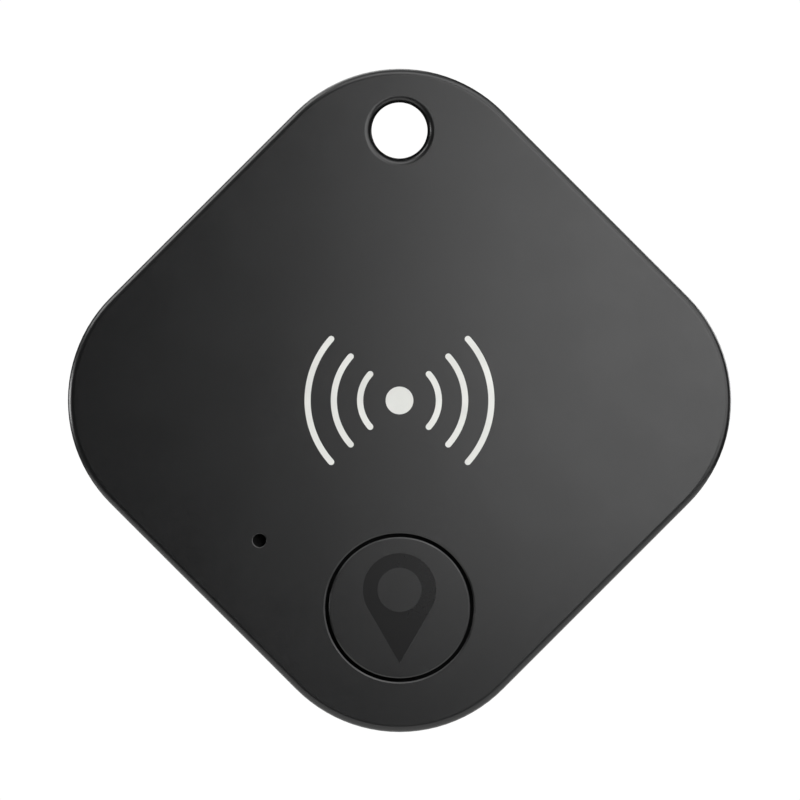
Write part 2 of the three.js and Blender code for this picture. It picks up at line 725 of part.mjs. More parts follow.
const buzzer = () => group(
  lowerLeft(BUZZER_REACH), lowerLeft(BUZZER_REACH), 45,
  piece('buzzer_case', buzzerCase(), chipBlack),
  piece('buzzer_diaphragm', buzzerDiaphragm(), steel),
  piece('buzzer_coil', buzzerCoil(), copper),
  piece('buzzer_core', buzzerCore(), steel),
);

// Radio chip with its crystals and capacitors, along the lower right flat. In this group x runs
// outwards to the flat and y towards the right-hand corner.
const radio = () => group(
  9.7, -9.7, -45,
  piece('radio_chip', component(5, 5, 0.85), chipBlack),
  piece('radio_crystal', component(2.5, 2.0, 0.6), steel, 0.2, 4.3),
  piece('clock_crystal', component(1.5, 3.2, 0.8), steel, -0.9, 7.4),
  piece('radio_capacitor_1', component(1.0, 0.5, 0.5), ceramicTan, -1.6, -3.3),
  piece('radio_capacitor_2', component(1.0, 0.5, 0.5), ceramicTan, 0.2, -3.3),
  piece('radio_capacitor_3', component(1.0, 0.5, 0.5), ceramicTan, 2.0, -3.3),
);

// Antenna with its matching parts, in the right-hand corner
const antenna = () => group(
  18.4, 0, 90,
  piece('chip_antenna', component(5.2, 2.0, 1.2), ceramicTan),
  piece('matching_inductor', component(1.0, 0.5, 0.5), ceramicTan, -1.0, 2.4),
  piece('matching_capacitor', component(1.0, 0.5, 0.5), ceramicTan, 1.0, 2.4),
);

// Parts that drive the buzzer and steady the supply, in the left-hand corner
const supply = () => group(
  -16.6, 0, 90,
  piece('bulk_capacitor', component(3.2, 2.5, 1.9), ceramicTan, -2.2, 0),
  piece('buzzer_transistor', component(2.9, 1.3, 1.0), chipBlack, 2.0, 0.6),
  piece('buzzer_diode', component(1.7, 1.25, 0.9), chipBlack, 1.6, -1.6),
  piece('buzzer_resistor', component(1.0, 0.5, 0.35), chipBlack, 0.2, -2.9),
);

const battery = () => group(
  0, 0, 0,
  piece('cell_can', cellCan(), steel),
  piece('cell_lid', cellLid(), steel),
  piece('cell_gasket', cellGasket(), meshBlack),
  piece('cell_pellet', cellPellet(), chipBlack),
  piece('cell_separator', cellSeparator(), ceramicTan),
  piece('cell_lithium', cellLithium(), steel),
  piece('battery_contact_positive', positiveContact(), nickel),
  piece('battery_contact_negative', negativeContact(), nickel),
);

const door = () => group(
  0, 0, 0,
  piece('battery_door', batteryDoor(), shellPlastic),
  piece('battery_door_pad', doorPad(), padFoam),
  piece('battery_door_seal', doorSeal(), sealRubber),
);

const portSide = lowerLeft(PORT_REACH);
const tag = new THREE.Group();
tag.add(
  piece('front_shell', frontShell(), shellPlastic),
  piece('rear_shell', rearShell(), shellPlastic),
  piece('button_cap', buttonCap(), buttonPlastic),
  piece('sound_port_mesh', portMesh(), meshBlack, portSide, portSide),
  piece('main_board', mainBoard(), boardGreen),
  tactSwitch(),
  buzzer(),
  radio(),
  antenna(),
  supply(),
  battery(),
  door(),
);
tag.rotation.x = Math.PI / 2;
tag.position.z = -LANYARD_RISE;

const model = new THREE.Group();
model.add(tag);

export default model;
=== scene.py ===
"""Looks of a diamond-shaped tracker tag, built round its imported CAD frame.

Pieces are drawn in millimetres about the middle of the case, with x to the right, y up and z towards
the front, and are then put into the row frame in metres.
"""

import math

import bmesh
import bpy
from mathutils import Matrix, Vector


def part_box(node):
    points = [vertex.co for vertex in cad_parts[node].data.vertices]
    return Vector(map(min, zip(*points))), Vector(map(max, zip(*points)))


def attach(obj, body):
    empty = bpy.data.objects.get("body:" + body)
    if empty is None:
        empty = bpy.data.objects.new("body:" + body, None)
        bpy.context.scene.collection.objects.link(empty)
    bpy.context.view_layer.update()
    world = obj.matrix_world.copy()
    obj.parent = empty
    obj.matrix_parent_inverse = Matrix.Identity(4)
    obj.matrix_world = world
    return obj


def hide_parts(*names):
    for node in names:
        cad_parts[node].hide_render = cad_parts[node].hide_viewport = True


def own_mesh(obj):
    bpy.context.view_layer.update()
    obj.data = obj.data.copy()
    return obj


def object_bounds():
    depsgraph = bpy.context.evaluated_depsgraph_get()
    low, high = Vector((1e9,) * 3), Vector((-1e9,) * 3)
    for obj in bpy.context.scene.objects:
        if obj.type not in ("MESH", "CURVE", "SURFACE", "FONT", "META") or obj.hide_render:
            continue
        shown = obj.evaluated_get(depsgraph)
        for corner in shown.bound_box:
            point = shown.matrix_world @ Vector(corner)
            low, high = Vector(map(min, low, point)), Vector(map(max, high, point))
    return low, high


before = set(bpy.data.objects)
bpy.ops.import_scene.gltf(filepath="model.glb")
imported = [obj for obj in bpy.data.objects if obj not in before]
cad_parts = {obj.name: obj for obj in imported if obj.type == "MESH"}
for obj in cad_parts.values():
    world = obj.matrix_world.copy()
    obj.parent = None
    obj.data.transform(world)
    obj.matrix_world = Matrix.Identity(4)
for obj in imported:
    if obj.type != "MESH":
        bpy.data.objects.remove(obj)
cad_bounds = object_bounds()

# ---------------------------------------- sizes, in millimetres

MM = 0.001
CASE_MIDDLE = (cad_bounds[0] + cad_bounds[1]) / 2
TO_ROW = Matrix.Translation(CASE_MIDDLE) @ Matrix.Rotation(math.pi / 2, 4, "X") @ Matrix.Scale(MM, 4)
TO_DRAWING = TO_ROW.inverted()
SHARP_ANGLE = math.radians(32)


def drawn_box(node):
    """Lowest and highest corner of a CAD node, in the drawing frame."""
    corners = [TO_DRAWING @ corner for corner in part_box(node)]
    low = Vector(map(min, *corners))
    high = Vector(map(max, *corners))
    return low, high


def middle(node):
    low, high = drawn_box(node)
    return (low + high) / 2


ACROSS_FLATS = 38.0
CORNER_RADIUS = 10.0
WALL = 1.2
EDGE_RADIUS = 0.46
BACK = drawn_box("rear_shell")[0].z
FRONT = drawn_box("front_shell")[1].z
INSIDE_FRONT = FRONT - WALL
INSIDE_BACK = BACK + WALL

PARTING = -1.0
PARTING_GROOVE = 0.15
REBATE = 0.6
TONGUE_HEIGHT = 0.95
FIT = 0.05
LIP = 0.1

LANYARD = TO_DRAWING @ Vector((0, 0, 0))
LANYARD_RADIUS = 1.915
LANYARD_MOUTH = 1.985
LANYARD_FILLET = 0.435
LANYARD_BOSS = 3.2

BUTTON = middle("switch_base")
BUTTON_OPENING = 5.095
OPENING_CHAMFER = 0.11
OPENING_CHAMFER_DEPTH = 0.075
BUTTON_CAP = 4.845
CAP_CHAMFER = 0.1
CAP_CHAMFER_DEPTH = 0.07
BUTTON_FLANGE = 5.5
STEM_RADIUS = 1.2
PIN_DEPTH = 0.05
PIN_HEAD_RISE = 1.22
PIN_HEAD_RADIUS = 2.51
PIN_EYE_RADIUS = 1.515
PIN_TIP_DROP = 3.8

PORT = middle("sound_port_mesh")
PORT_RADIUS = 0.44
PORT_FILLET = 0.1

DOOR = middle("battery_door")
DOOR_RADIUS = 12.9
DOOR_RECESS = 13.0
DOOR_SHELF = -2.6
COLLAR_BORE = 11.9
COLLAR_OUTER = 13.7
COLLAR_FRONT = -0.95
DOOR_RIM = BACK + 0.8
LUG_MIDDLES = (90, 210, 330)
LUG_FRONT = -1.05
LUG_BACK = LUG_FRONT - 0.6
RISE_PER_TURN = 8.0
SLOT_HALF_LENGTH = 5.6
SLOT_HALF_WIDTH = 0.9
SLOT_DEPTH = 0.8

PLUNGER_TOP = drawn_box("switch_plunger")[1].z
BOARD_POSTS = ((12.6, 8.6), (-12.6, 8.6), (6.8, -14.6), (-6.8, -14.6))
CHIP_TURN = -45

MARK_STROKE = 0.42
MARK_DOT = 0.95
MARK_ARCS = (2.7, 4.5, 6.3)
MARK_HALF_ANGLE = 42
INK_THICK = 0.012
INK_SUNK = 0.004

# The studio, in metres.

FLOOR_HEIGHT = -0.0735
FLOOR_RADIUS = 0.11
FLOOR_SHIFT = 0.03
WORLD_SHOWN = 1.02
WORLD_LIGHT = 0.002
VIEW_HEIGHT = 0.054825
VIEW_SPOT = (0.000034, -0.35, 0.000032)

# ---------------------------------------- outlines


def arc(x, y, radius, start, end, steps):
    """Points of an arc, angles in degrees."""
    angles = [math.radians(start + (end - start) * step / steps) for step in range(steps + 1)]
    return [(x + radius * math.cos(angle), y + radius * math.sin(angle)) for angle in angles]


def circle(radius, steps=96, x=0.0, y=0.0):
    return arc(x, y, radius, 0, 360, steps)[:-1]


def diamond(inset, steps=24):
    """The case's outline, a rounded square on its corner, brought in by inset."""
    reach = (ACROSS_FLATS / 2 - CORNER_RADIUS) * math.sqrt(2)
    points = []
    for quarter in range(4):
        angle = 90 * quarter
        x = reach * math.cos(math.radians(angle))
        y = reach * math.sin(math.radians(angle))
        points += arc(x, y, CORNER_RADIUS - inset, angle - 45, angle + 45, steps)
    return points


def rounded_box(length, width, radius, steps=6):
    """A rectangle with round corners, about (0, 0)."""
    points = []
    for quarter, (sx, sy) in enumerate(((1, 1), (-1, 1), (-1, -1), (1, -1))):
        x = sx * (length / 2 - radius)
        y = sy * (width / 2 - radius)
        points += arc(x, y, radius, 90 * quarter, 90 * quarter + 90, steps)
    return points


def eased(profile, ease, steps=3):
    """A profile with its corners rounded, apart from its two ends if they lie on the axis."""
    closed = all(radius > 1e-6 for radius, z in profile)
    points = [Vector(point) for point in profile]
    count = len(points)
    result = []
    for i, point in enumerate(points):
        if not closed and i in (0, count - 1):
            result.append(tuple(point))
            continue
        before = points[i - 1] - point
        after = points[(i + 1) % count] - point
        reach = min(ease, before.length / 2.2, after.length / 2.2)
        start = point + before.normalized() * reach
        end = point + after.normalized() * reach
        for step in range(steps + 1):
            t = step / steps
            result.append(tuple(start * (1 - t) ** 2 + point * 2 * t * (1 - t) + end * t * t))
    return result


# ---------------------------------------- solids


def new_object(name, bm):
    bmesh.ops.recalc_face_normals(bm, faces=bm.faces)
    mesh = bpy.data.meshes.new(name)
    bm.to_mesh(mesh)
    bm.free()
    obj = bpy.data.objects.new(name, mesh)
    bpy.context.scene.collection.objects.link(obj)
    return obj


def loft(sections):
    """A solid through sections of the same number of 3-D points."""
    bm = bmesh.new()
    rings = [[bm.verts.new(point) for point in section] for section in sections]
    count = len(rings[0])
    for lower, upper in zip(rings, rings[1:]):
        for i in range(count):
            j = (i + 1) % count
            bm.faces.new((lower[i], lower[j], upper[j], upper[i]))
    bm.faces.new(rings[0][::-1])
    bm.faces.new(rings[-1])
    return new_object("solid", bm)


def stack(levels):
    """A solid through flat outlines, each given as (outline, z)."""
    return loft([[(x, y, z) for x, y in outline] for outline, z in levels])


def prism(outline, low, high):
    return stack([(outline, low), (outline, high)])


def disc(radius, low, high, centre=(0, 0), steps=96):
    return prism(circle(radius, steps, centre[0], centre[1]), low, high)


def block(x0, x1, y0, y1, z0, z1):
    return prism([(x0, y0), (x1, y0), (x1, y1), (x0, y1)], z0, z1)


def drafted_box(length, width, radius, levels, steps=6):
    """A box with round corners through levels, each given as (inset, z)."""
    outlines = []
    for inset, z in levels:
        outlines.append((rounded_box(length - 2 * inset, width - 2 * inset, radius, steps), z))
    return stack(outlines)


def lathe(profile, centre=(0, 0), steps=96):
    """A solid turned about the z axis through centre, from (radius, z) points that close on themselves
    or on the axis."""
    bm = bmesh.new()
    columns = []
    for radius, z in profile:
        if radius < 1e-6:
            columns.append([bm.verts.new((centre[0], centre[1], z))] * steps)
        else:
            columns.append([bm.verts.new((x, y, z)) for x, y in circle(radius, steps, *centre[:2])])
    pairs = list(zip(columns, columns[1:]))
    if all(radius > 1e-6 for radius, z in profile):
        pairs.append((columns[-1], columns[0]))
    for lower, upper in pairs:
        for i in range(steps):
            j = (i + 1) % steps
            corners = [lower[i], lower[j], upper[j], upper[i]]
            corners = [v for k, v in enumerate(corners) if v not in corners[:k]]
            if len(corners) > 2:
                bm.faces.new(corners)
    return new_object("solid", bm)


def tube(inner, outer, low, high, centre=(0, 0), ease=0.08):
    return lathe(eased([(inner, low), (outer, low), (outer, high), (inner, high)], ease), centre)


def copy_of(node):
    """A copy of a CAD node's mesh, in the drawing frame."""
    obj = bpy.data.objects.new(node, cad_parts[node].data.copy())
    obj.data.materials.clear()
    obj.data.transform(TO_DRAWING)
    bpy.context.scene.collection.objects.link(obj)
    bm = bmesh.new()
    bm.from_mesh(obj.data)
    bmesh.ops.remove_doubles(bm, verts=bm.verts, dist=0.001)
    bmesh.ops.dissolve_limit(bm, angle_limit=math.radians(0.5), verts=bm.verts, edges=bm.edges)
    bm.to_mesh(obj.data)
    bm.free()
    return obj


def combine(target, tools, operation):
    """The target joined with or cut by each tool; the tools are used up."""
    for tool in tools:
        modifier = target.modifiers.new("combine", "BOOLEAN")
        modifier.operation = operation
        modifier.solver = "EXACT"
        modifier.object = tool
    graph = bpy.context.evaluated_depsgraph_get()
    mesh = bpy.data.meshes.new_from_object(target.evaluated_get(graph))
    target.modifiers.clear()
    target.data = mesh
    for tool in tools:
        bpy.data.objects.remove(tool)
    return target


def cut(target, *tools):
    return combine(target, tools, "DIFFERENCE")


def join(target, *tools):
    return combine(target, tools, "UNION")


def gathered(*parts):
    """Separate solids as one object; each keeps its tones."""
    bm = bmesh.new()
    for part in parts:
        first = len(bm.faces)
        bm.from_mesh(part.data)
        bm.faces.ensure_lookup_table()
        for face in bm.faces[first:]:
            face.material_index = max(face.material_index, part.get("tone", 0))
        bpy.data.objects.remove(part)
    return new_object("solid", bm)


def toned(obj, tone):
    """Marks a solid to take the material of that index when it is gathered."""
    obj["tone"] = tone
    return obj


def placed(obj, spot, degrees=0.0):
    """Turns a solid about the z axis and moves it."""
    turn = Matrix.Translation(Vector((spot[0], spot[1], spot[2] if len(spot) > 2 else 0)))
    obj.data.transform(turn @ Matrix.Rotation(math.radians(degrees), 4, "Z"))
    return obj


def finished(obj, name, body, materials, replaced=None, bevel=0.0):
    """Puts a drawn solid into the row frame as a named piece of the tag. It stands for the CAD node of
    its own name unless replaced says otherwise."""
    bm = bmesh.new()
    bm.from_mesh(obj.data)
    bmesh.ops.remove_doubles(bm, verts=bm.verts, dist=0.0004)
    bmesh.ops.dissolve_degenerate(bm, edges=bm.edges, dist=0.0004)
    bm.to_mesh(obj.data)
    bm.free()
    obj.name = name + "_look"
    obj.data.name = name + "_look"
    if bevel:
        rounding = obj.modifiers.new("bevel", "BEVEL")
        rounding.width = bevel
        rounding.segments = 2
        rounding.limit_method = "ANGLE"
        rounding.angle_limit = math.radians(40)
        apply_modifiers(obj)
    obj.data.shade_smooth()
    obj.data.set_sharp_from_angle(angle=SHARP_ANGLE)
    weighted = obj.modifiers.new("weighted", "WEIGHTED_NORMAL")
    weighted.keep_sharp = True
    weighted.thresh = 0.0
    apply_modifiers(obj)
    obj.data.transform(TO_ROW)
    tones = [polygon.material_index for polygon in obj.data.polygons]
    obj.data.materials.clear()
    for one in materials if isinstance(materials, (list, tuple)) else [materials]:
        obj.data.materials.append(one)
    obj.data.polygons.foreach_set("material_index", tones)
    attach(obj, body)
    nodes = [name] if replaced is None else replaced
    if nodes:
        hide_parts(*nodes)
    return obj


def apply_modifiers(obj):
    graph = bpy.context.evaluated_depsgraph_get()
    mesh = bpy.data.meshes.new_from_object(obj.evaluated_get(graph))
    obj.modifiers.clear()
    obj.data = mesh


def paint(obj, index, test):
    """Gives the faces that pass the test, on their middle and normal, the material of that index."""
    for polygon in obj.data.polygons:
        if test(polygon.center, polygon.normal):
            polygon.material_index = index


# ---------------------------------------- materials


class Look:
    """One node material, built round a Principled shader on the piece's own coordinates."""

    def __init__(self, name, colour, roughness, metallic=0.0):
        self.material = bpy.data.materials.new(name)
        self.material.use_nodes = True
        self.tree = self.material.node_tree
        self.shader = self.tree.nodes["Principled BSDF"]
        self.shader.inputs["Metallic"].default_value = metallic
        self.place = self.node("ShaderNodeTexCoord").outputs["Object"]
        self.colour = self.flat(colour)
        self.roughness = self.value(roughness)
        self.normal = None

    def node(self, kind, **inputs):
        node = self.tree.nodes.new(kind)
        for key, value in inputs.items():
            self.feed(node.inputs[key.replace("_", " ")], value)
        return node

    def feed(self, socket, value):
        if isinstance(value, bpy.types.NodeSocket):
            self.tree.links.new(value, socket)
        elif isinstance(value, (tuple, list)) and len(value) == 3 and len(socket.default_value) == 4:
            socket.default_value = (*value, 1)
        else:
            socket.default_value = value

    def flat(self, colour):
        node = self.tree.nodes.new("ShaderNodeRGB")
        node.outputs[0].default_value = (*colour, 1)
        return node.outputs[0]

    def value(self, number):
        node = self.tree.nodes.new("ShaderNodeValue")
        node.outputs[0].default_value = number
        return node.outputs[0]

    def stretched(self, scale, turn=0.0):
        node = self.node("ShaderNodeMapping", Vector=self.place)
        node.inputs["Scale"].default_value = scale
        node.inputs["Rotation"].default_value = (0, math.radians(turn), 0)
        return node.outputs[0]

    def noise(self, size, detail=2.0, place=None):
        """Noise of about 0 to 1, with grains of that size in millimetres."""
        node = self.node("ShaderNodeTexNoise", Scale=1 / (size * MM), Detail=detail)
        self.feed(node.inputs["Vector"], place or self.place)
        return node.outputs["Fac"]

    def cells(self, size):
        node = self.node("ShaderNodeTexVoronoi", Vector=self.place, Scale=1 / (size * MM))
        return node.outputs["Distance"]

    def ramp(self, value, low, high, start=0.0, end=1.0):
        node = self.node("ShaderNodeMapRange", Value=value)
        node.inputs["From Min"].default_value = low
        node.inputs["From Max"].default_value = high
        node.inputs["To Min"].default_value = start
        node.inputs["To Max"].default_value = end
        return node.outputs[0]

    def math(self, operation, first, second=0.5):
        node = self.tree.nodes.new("ShaderNodeMath")
        node.operation = operation
        self.feed(node.inputs[0], first)
        self.feed(node.inputs[1], second)
        return node.outputs[0]

    def mix(self, mask, other):
        """Mixes another colour over the present one by a mask."""
        node = self.tree.nodes.new("ShaderNodeMix")
        node.data_type = "RGBA"
        self.feed(node.inputs["Factor"], mask)
        self.feed(node.inputs[6], self.colour)
        self.feed(node.inputs[7], (*other, 1))
        self.colour = node.outputs[2]
        return self

    def roughen(self, mask, amount):
        """Adds amount, which may be less than 0, to the roughness where the mask is 1."""
        self.roughness = self.math("ADD", self.roughness, self.math("MULTIPLY", mask, amount))
        return self

    def bump(self, height, depth):
        """Bump of that depth in millimetres."""
        node = self.node("ShaderNodeBump", Height=height, Strength=1.0, Distance=depth * MM)
        if self.normal is not None:
            self.feed(node.inputs["Normal"], self.normal)
        self.normal = node.outputs[0]
        return self

    def worn_edges(self, radius, colour, roughness):
        """Lightly rubbed edges: where a rounded normal leaves the true one, broken up by noise."""
        rounded = self.tree.nodes.new("ShaderNodeBevel")
        rounded.samples = 4
        rounded.inputs["Radius"].default_value = radius * MM
        true = self.tree.nodes.new("ShaderNodeNewGeometry")
        both = self.tree.nodes.new("ShaderNodeVectorMath")
        both.operation = "DOT_PRODUCT"
        self.feed(both.inputs[0], rounded.outputs[0])
        self.feed(both.inputs[1], true.outputs["Normal"])
        edge = self.ramp(both.outputs["Value"], 0.985, 0.9)
        rubbed = self.math("MULTIPLY", edge, self.ramp(self.noise(1.3, 4.0), 0.45, 0.62))
        self.mix(rubbed, colour)
        self.roughen(rubbed, roughness)
        return self

    def done(self):
        self.feed(self.shader.inputs["Base Color"], self.colour)
        self.feed(self.shader.inputs["Roughness"], self.roughness)
        if self.normal is not None:
            self.feed(self.shader.inputs["Normal"], self.normal)
        return self.material


def moulded(name, colour, roughness, grain=0.12, depth=0.0012, lighter=1.35, specular=0.5, worn=True):
    """Moulded plastic: fine spark-eroded grain, slow tone drift and, if worn, slightly rubbed edges."""
    look = Look(name, colour, roughness)
    look.shader.inputs["Specular IOR Level"].default_value = specular
    light = tuple(channel * lighter for channel in colour)
    look.mix(look.ramp(look.noise(7.0, 3.0), 0.35, 0.65, 0.0, 0.35), light)
    look.mix(look.ramp(look.noise(grain * 1.6, 2.0), 0.4, 0.75, 0.0, 0.25), light)
    look.roughen(look.ramp(look.noise(4.0, 4.0), 0.3, 0.7), 0.03)
    look.roughen(look.ramp(look.noise(0.5, 2.0), 0.4, 0.7), 0.015)
    if worn:
        look.worn_edges(0.18, tuple(channel * 2.2 for channel in colour), -0.06)
    look.bump(look.noise(grain, 2.0), depth)
    look.bump(look.noise(grain * 3.1, 1.0), depth * 1.3)
    return look.done()


def metal(name, colour, roughness, brushed=(1, 1, 1), grain=0.06, depth=0.0006):
    """Sheet metal with rolling marks, fingerprints of tarnish and bright edges."""
    look = Look(name, colour, roughness, 1.0)
    lines = look.noise(grain, 4.0, look.stretched(brushed))
    darker = tuple(channel * 0.62 for channel in colour)
    look.mix(look.ramp(look.noise(2.5, 5.0), 0.5, 0.75, 0.0, 0.5), darker)
    look.mix(look.ramp(lines, 0.45, 0.7, 0.0, 0.3), darker)
    look.roughen(look.ramp(lines, 0.3, 0.7), 0.14)
    look.worn_edges(0.08, tuple(min(channel * 1.25, 1) for channel in colour), -0.1)
    look.bump(lines, depth)
    return look.done()


def ceramic(name, colour, roughness=0.38):
    """Fired ceramic with fine speckles."""
    look = Look(name, colour, roughness)
    darker, lighter, worn = (tuple(min(c * times, 1) for c in colour) for times in (0.6, 1.2, 1.4))
    look.mix(look.ramp(look.noise(0.09, 3.0), 0.55, 0.75, 0.0, 0.5), darker)
    look.mix(look.ramp(look.noise(1.1, 2.0), 0.3, 0.7, 0.0, 0.4), lighter)
    look.roughen(look.noise(0.3, 2.0), 0.12)
    look.worn_edges(0.05, worn, 0.1)
    look.bump(look.noise(0.05, 2.0), 0.0008)
    return look.done()


# Painted shade: the lanyard hole and the gap round the button are lined with a black darker than the
# shell's, with a weaker reflection, which keeps both black; the hole's lining is glossy and the gap's
# rough.
PAINTED_SHADE_BLACK = (0.0036, 0.0036, 0.0038)
ICON_BLACK = (0.0042, 0.0042, 0.0044)

shell_plastic = moulded("shell_plastic", (0.0052, 0.0053, 0.0055), 0.28)
bore_shade_plastic = moulded("bore_shade_plastic", PAINTED_SHADE_BLACK, 0.12, specular=0.08)
gap_shade_plastic = moulded("gap_shade_plastic", PAINTED_SHADE_BLACK, 0.5, specular=0.08)
button_plastic = moulded("button_plastic", (0.0050, 0.0051, 0.0053), 0.28)
icon_plastic = moulded("button_icon", ICON_BLACK, 0.26, 0.2, 0.0004, specular=0.27, worn=False)
switch_plastic = moulded("switch_plastic", (0.014, 0.014, 0.015), 0.5, 0.07, 0.0016)
buzzer_plastic = moulded("buzzer_plastic", (0.016, 0.016, 0.017), 0.55, 0.08, 0.002)
chip_epoxy = moulded("chip_epoxy", (0.021, 0.021, 0.022), 0.58, 0.05, 0.002, 1.6)
gasket_plastic = moulded("cell_gasket_plastic", (0.05, 0.05, 0.052), 0.45, 0.1, 0.001)
steel = metal("steel", (0.56, 0.57, 0.58), 0.24, (1, 1, 14))
domed_steel = metal("dome_steel", (0.6, 0.6, 0.6), 0.2, (6, 6, 6))
nickel = metal("nickel", (0.66, 0.62, 0.54), 0.3, (12, 1, 1))
tin = metal("tin", (0.62, 0.63, 0.64), 0.38, (1, 1, 1), 0.1, 0.002)
capacitor_ceramic = ceramic("ceramic", (0.36, 0.25, 0.15))
white_ceramic = ceramic("white_ceramic", (0.62, 0.6, 0.56), 0.45)
inductor_ceramic = ceramic("inductor_ceramic", (0.1, 0.16, 0.2))
resistor_glass = ceramic("resistor_glass", (0.02, 0.02, 0.022), 0.25)
diode_band = ceramic("diode_band", (0.4, 0.4, 0.4), 0.6)


def copper_wire():
    look = Look("copper", (0.72, 0.3, 0.14), 0.25, 1.0)
    look.mix(look.ramp(look.noise(0.5, 3.0), 0.45, 0.75, 0.0, 0.6), (0.42, 0.14, 0.06))
    look.roughen(look.noise(0.2, 2.0), 0.2)
    look.bump(look.noise(0.05, 2.0, look.stretched((1, 12, 1))), 0.001)
    return look.done()


def rubber():
    look = Look("seal_rubber", (0.012, 0.012, 0.012), 0.72)
    look.mix(look.ramp(look.noise(0.4, 4.0), 0.5, 0.72, 0.0, 0.6), (0.03, 0.03, 0.03))
    look.roughen(look.noise(0.9, 3.0), 0.15)
    look.bump(look.noise(0.06, 3.0), 0.003)
    return look.done()


def foam():
    look = Look("pad_foam", (0.045, 0.045, 0.048), 0.92)
    pores = look.cells(0.22)
    # Painted shade: the pores, which the bump below sinks, are darker.
    look.mix(look.ramp(pores, 0.45, 0.1), (0.008, 0.008, 0.009))
    look.mix(look.ramp(look.noise(1.5, 3.0), 0.45, 0.7, 0.0, 0.5), (0.075, 0.075, 0.08))
    look.bump(look.ramp(pores, 0.0, 0.5), 0.05)
    look.bump(look.noise(0.05, 3.0), 0.01)
    return look.done()


def woven_mesh():
    look = Look("dust_mesh", (0.02, 0.02, 0.021), 0.8)
    threads = []
    for turn in (45, -45):
        wave = look.node("ShaderNodeTexWave", Vector=look.stretched((1, 1, 1), turn), Scale=3500.0)
        wave.bands_direction = "X"
        threads.append(wave.outputs["Fac"])
    weave = look.math("MULTIPLY", *threads)
    # Painted shade: the gaps between the threads, which the bump below sinks, are darker.
    look.mix(look.ramp(weave, 0.05, 0.5, 1.0, 0.0), (0.003, 0.003, 0.003))
    look.bump(weave, 0.03)
    return look.done()


def solder_mask():
    look = Look("board_laminate", (0.008, 0.045, 0.022), 0.34)
    tracks = look.node("ShaderNodeTexBrick", Vector=look.stretched((1, 1, 1), 45), Scale=1.0)
    for key, size in (("Mortar Size", 0.00011), ("Brick Width", 0.0031), ("Row Height", 0.00075)):
        tracks.inputs[key].default_value = size
    tracks.inputs["Mortar Smooth"].default_value = 0.3
    patches = look.ramp(look.noise(3.4, 0.0), 0.46, 0.5)
    lines = look.math("MULTIPLY", tracks.outputs["Fac"], patches)
    copper_under = look.math("MAXIMUM", lines, look.math("SUBTRACT", 1.0, patches))
    look.mix(copper_under, (0.02, 0.1, 0.045))
    look.mix(look.ramp(look.noise(0.2, 3.0), 0.5, 0.8, 0.0, 0.4), (0.005, 0.03, 0.014))
    look.roughen(look.noise(0.6, 3.0), 0.12)
    look.bump(copper_under, 0.012)
    look.bump(look.noise(0.12, 2.0), 0.0015)
    return look.done()


def ink():
    look = Look("printed_mark", (0.60, 0.604, 0.578), 0.55)
    look.mix(look.ramp(look.noise(0.16, 3.0), 0.55, 0.8, 0.0, 0.25), (0.66, 0.66, 0.63))
    look.mix(look.ramp(look.noise(2.4, 2.0), 0.4, 0.7, 0.0, 0.3), (0.79, 0.795, 0.76))
    look.roughen(look.noise(0.5, 2.0), 0.1)
    look.bump(look.noise(0.1, 2.0), 0.0015)
    return look.done()


def powder(name, colour, grain):
    """Pressed powder or paper, with darker patches and lighter specks."""
    look = Look(name, colour, 0.85)
    darker = tuple(channel * 0.5 for channel in colour)
    lighter = tuple(min(channel * 1.7, 1) for channel in colour)
    look.mix(look.ramp(look.noise(grain, 4.0), 0.45, 0.7), darker)
    look.mix(look.ramp(look.cells(grain * 1.7), 0.0, 0.25, 0.6, 0.0), lighter)
    look.bump(look.noise(grain, 4.0), 0.012)
    return look.done()


def lithium():
    look = Look("cell_lithium", (0.5, 0.5, 0.52), 0.5, 1.0)
    look.mix(look.ramp(look.noise(1.2, 5.0), 0.4, 0.7), (0.2, 0.2, 0.23))
    look.roughen(look.noise(0.4, 3.0), 0.25)
    look.bump(look.noise(0.3, 4.0), 0.006)
    return look.done()


copper = copper_wire()
seal_rubber = rubber()
pad_foam = foam()
dust_mesh = woven_mesh()
board_laminate = solder_mask()
printed_mark = ink()
cell_pellet = powder("cell_pellet", (0.03, 0.03, 0.032), 0.08)
cell_separator = powder("cell_separator", (0.7, 0.7, 0.68), 0.05)
cell_lithium = lithium()

# ---------------------------------------- shells


def rolled(face, direction, steps=8):
    """Levels of the case's rounded edge, from the flank up to the face at that height."""
    levels = []
    for step in range(steps + 1):
        angle = math.pi / 2 * step / steps
        inset = EDGE_RADIUS * (1 - math.cos(angle))
        levels.append((diamond(inset), face - direction * EDGE_RADIUS * (1 - math.sin(angle))))
    return levels


def lanyard_bore():
    """Cutter for the lanyard hole, narrowest half way through and with a round mouth on each face."""
    mouth = LANYARD_MOUTH + LANYARD_FILLET
    start = FRONT - LANYARD_FILLET
    lower = arc(mouth, -start, LANYARD_FILLET, 270, 180, 8)
    upper = arc(mouth, start, LANYARD_FILLET, 180, 90, 8)
    profile = [(0, BACK - 1), (mouth, BACK - 1), *lower, (LANYARD_RADIUS, 0), *upper, (mouth, FRONT + 1)]
    return lathe([*profile, (0, FRONT + 1)], LANYARD, 96)


def in_bore(spot, normal, centre, radius):
    """Whether a face lies on the straight wall of a round hole."""
    return abs(normal.z) < 0.1 and (spot.xy - centre.xy).length < radius + 0.004


def rails(length, start, end, low, high):
    """Four rails along the flats, reaching outwards from start to end."""
    return [
        placed(block(start, end, -length / 2, length / 2, low, high), (0, 0), angle)
        for angle in (45, 135, 225, 315)
    ]


def chamfer(low, high, depth):
    """Profile of a chamfer, from the wall at radius low to the front face at radius high, with both of its
    corners eased."""
    step = math.copysign(0.01, high - low)
    eased_low = (low + step, FRONT - depth + 0.015)
    eased_high = (high - step, FRONT - 0.003)
    return [(low, FRONT - depth), eased_low, eased_high, (high, FRONT)]


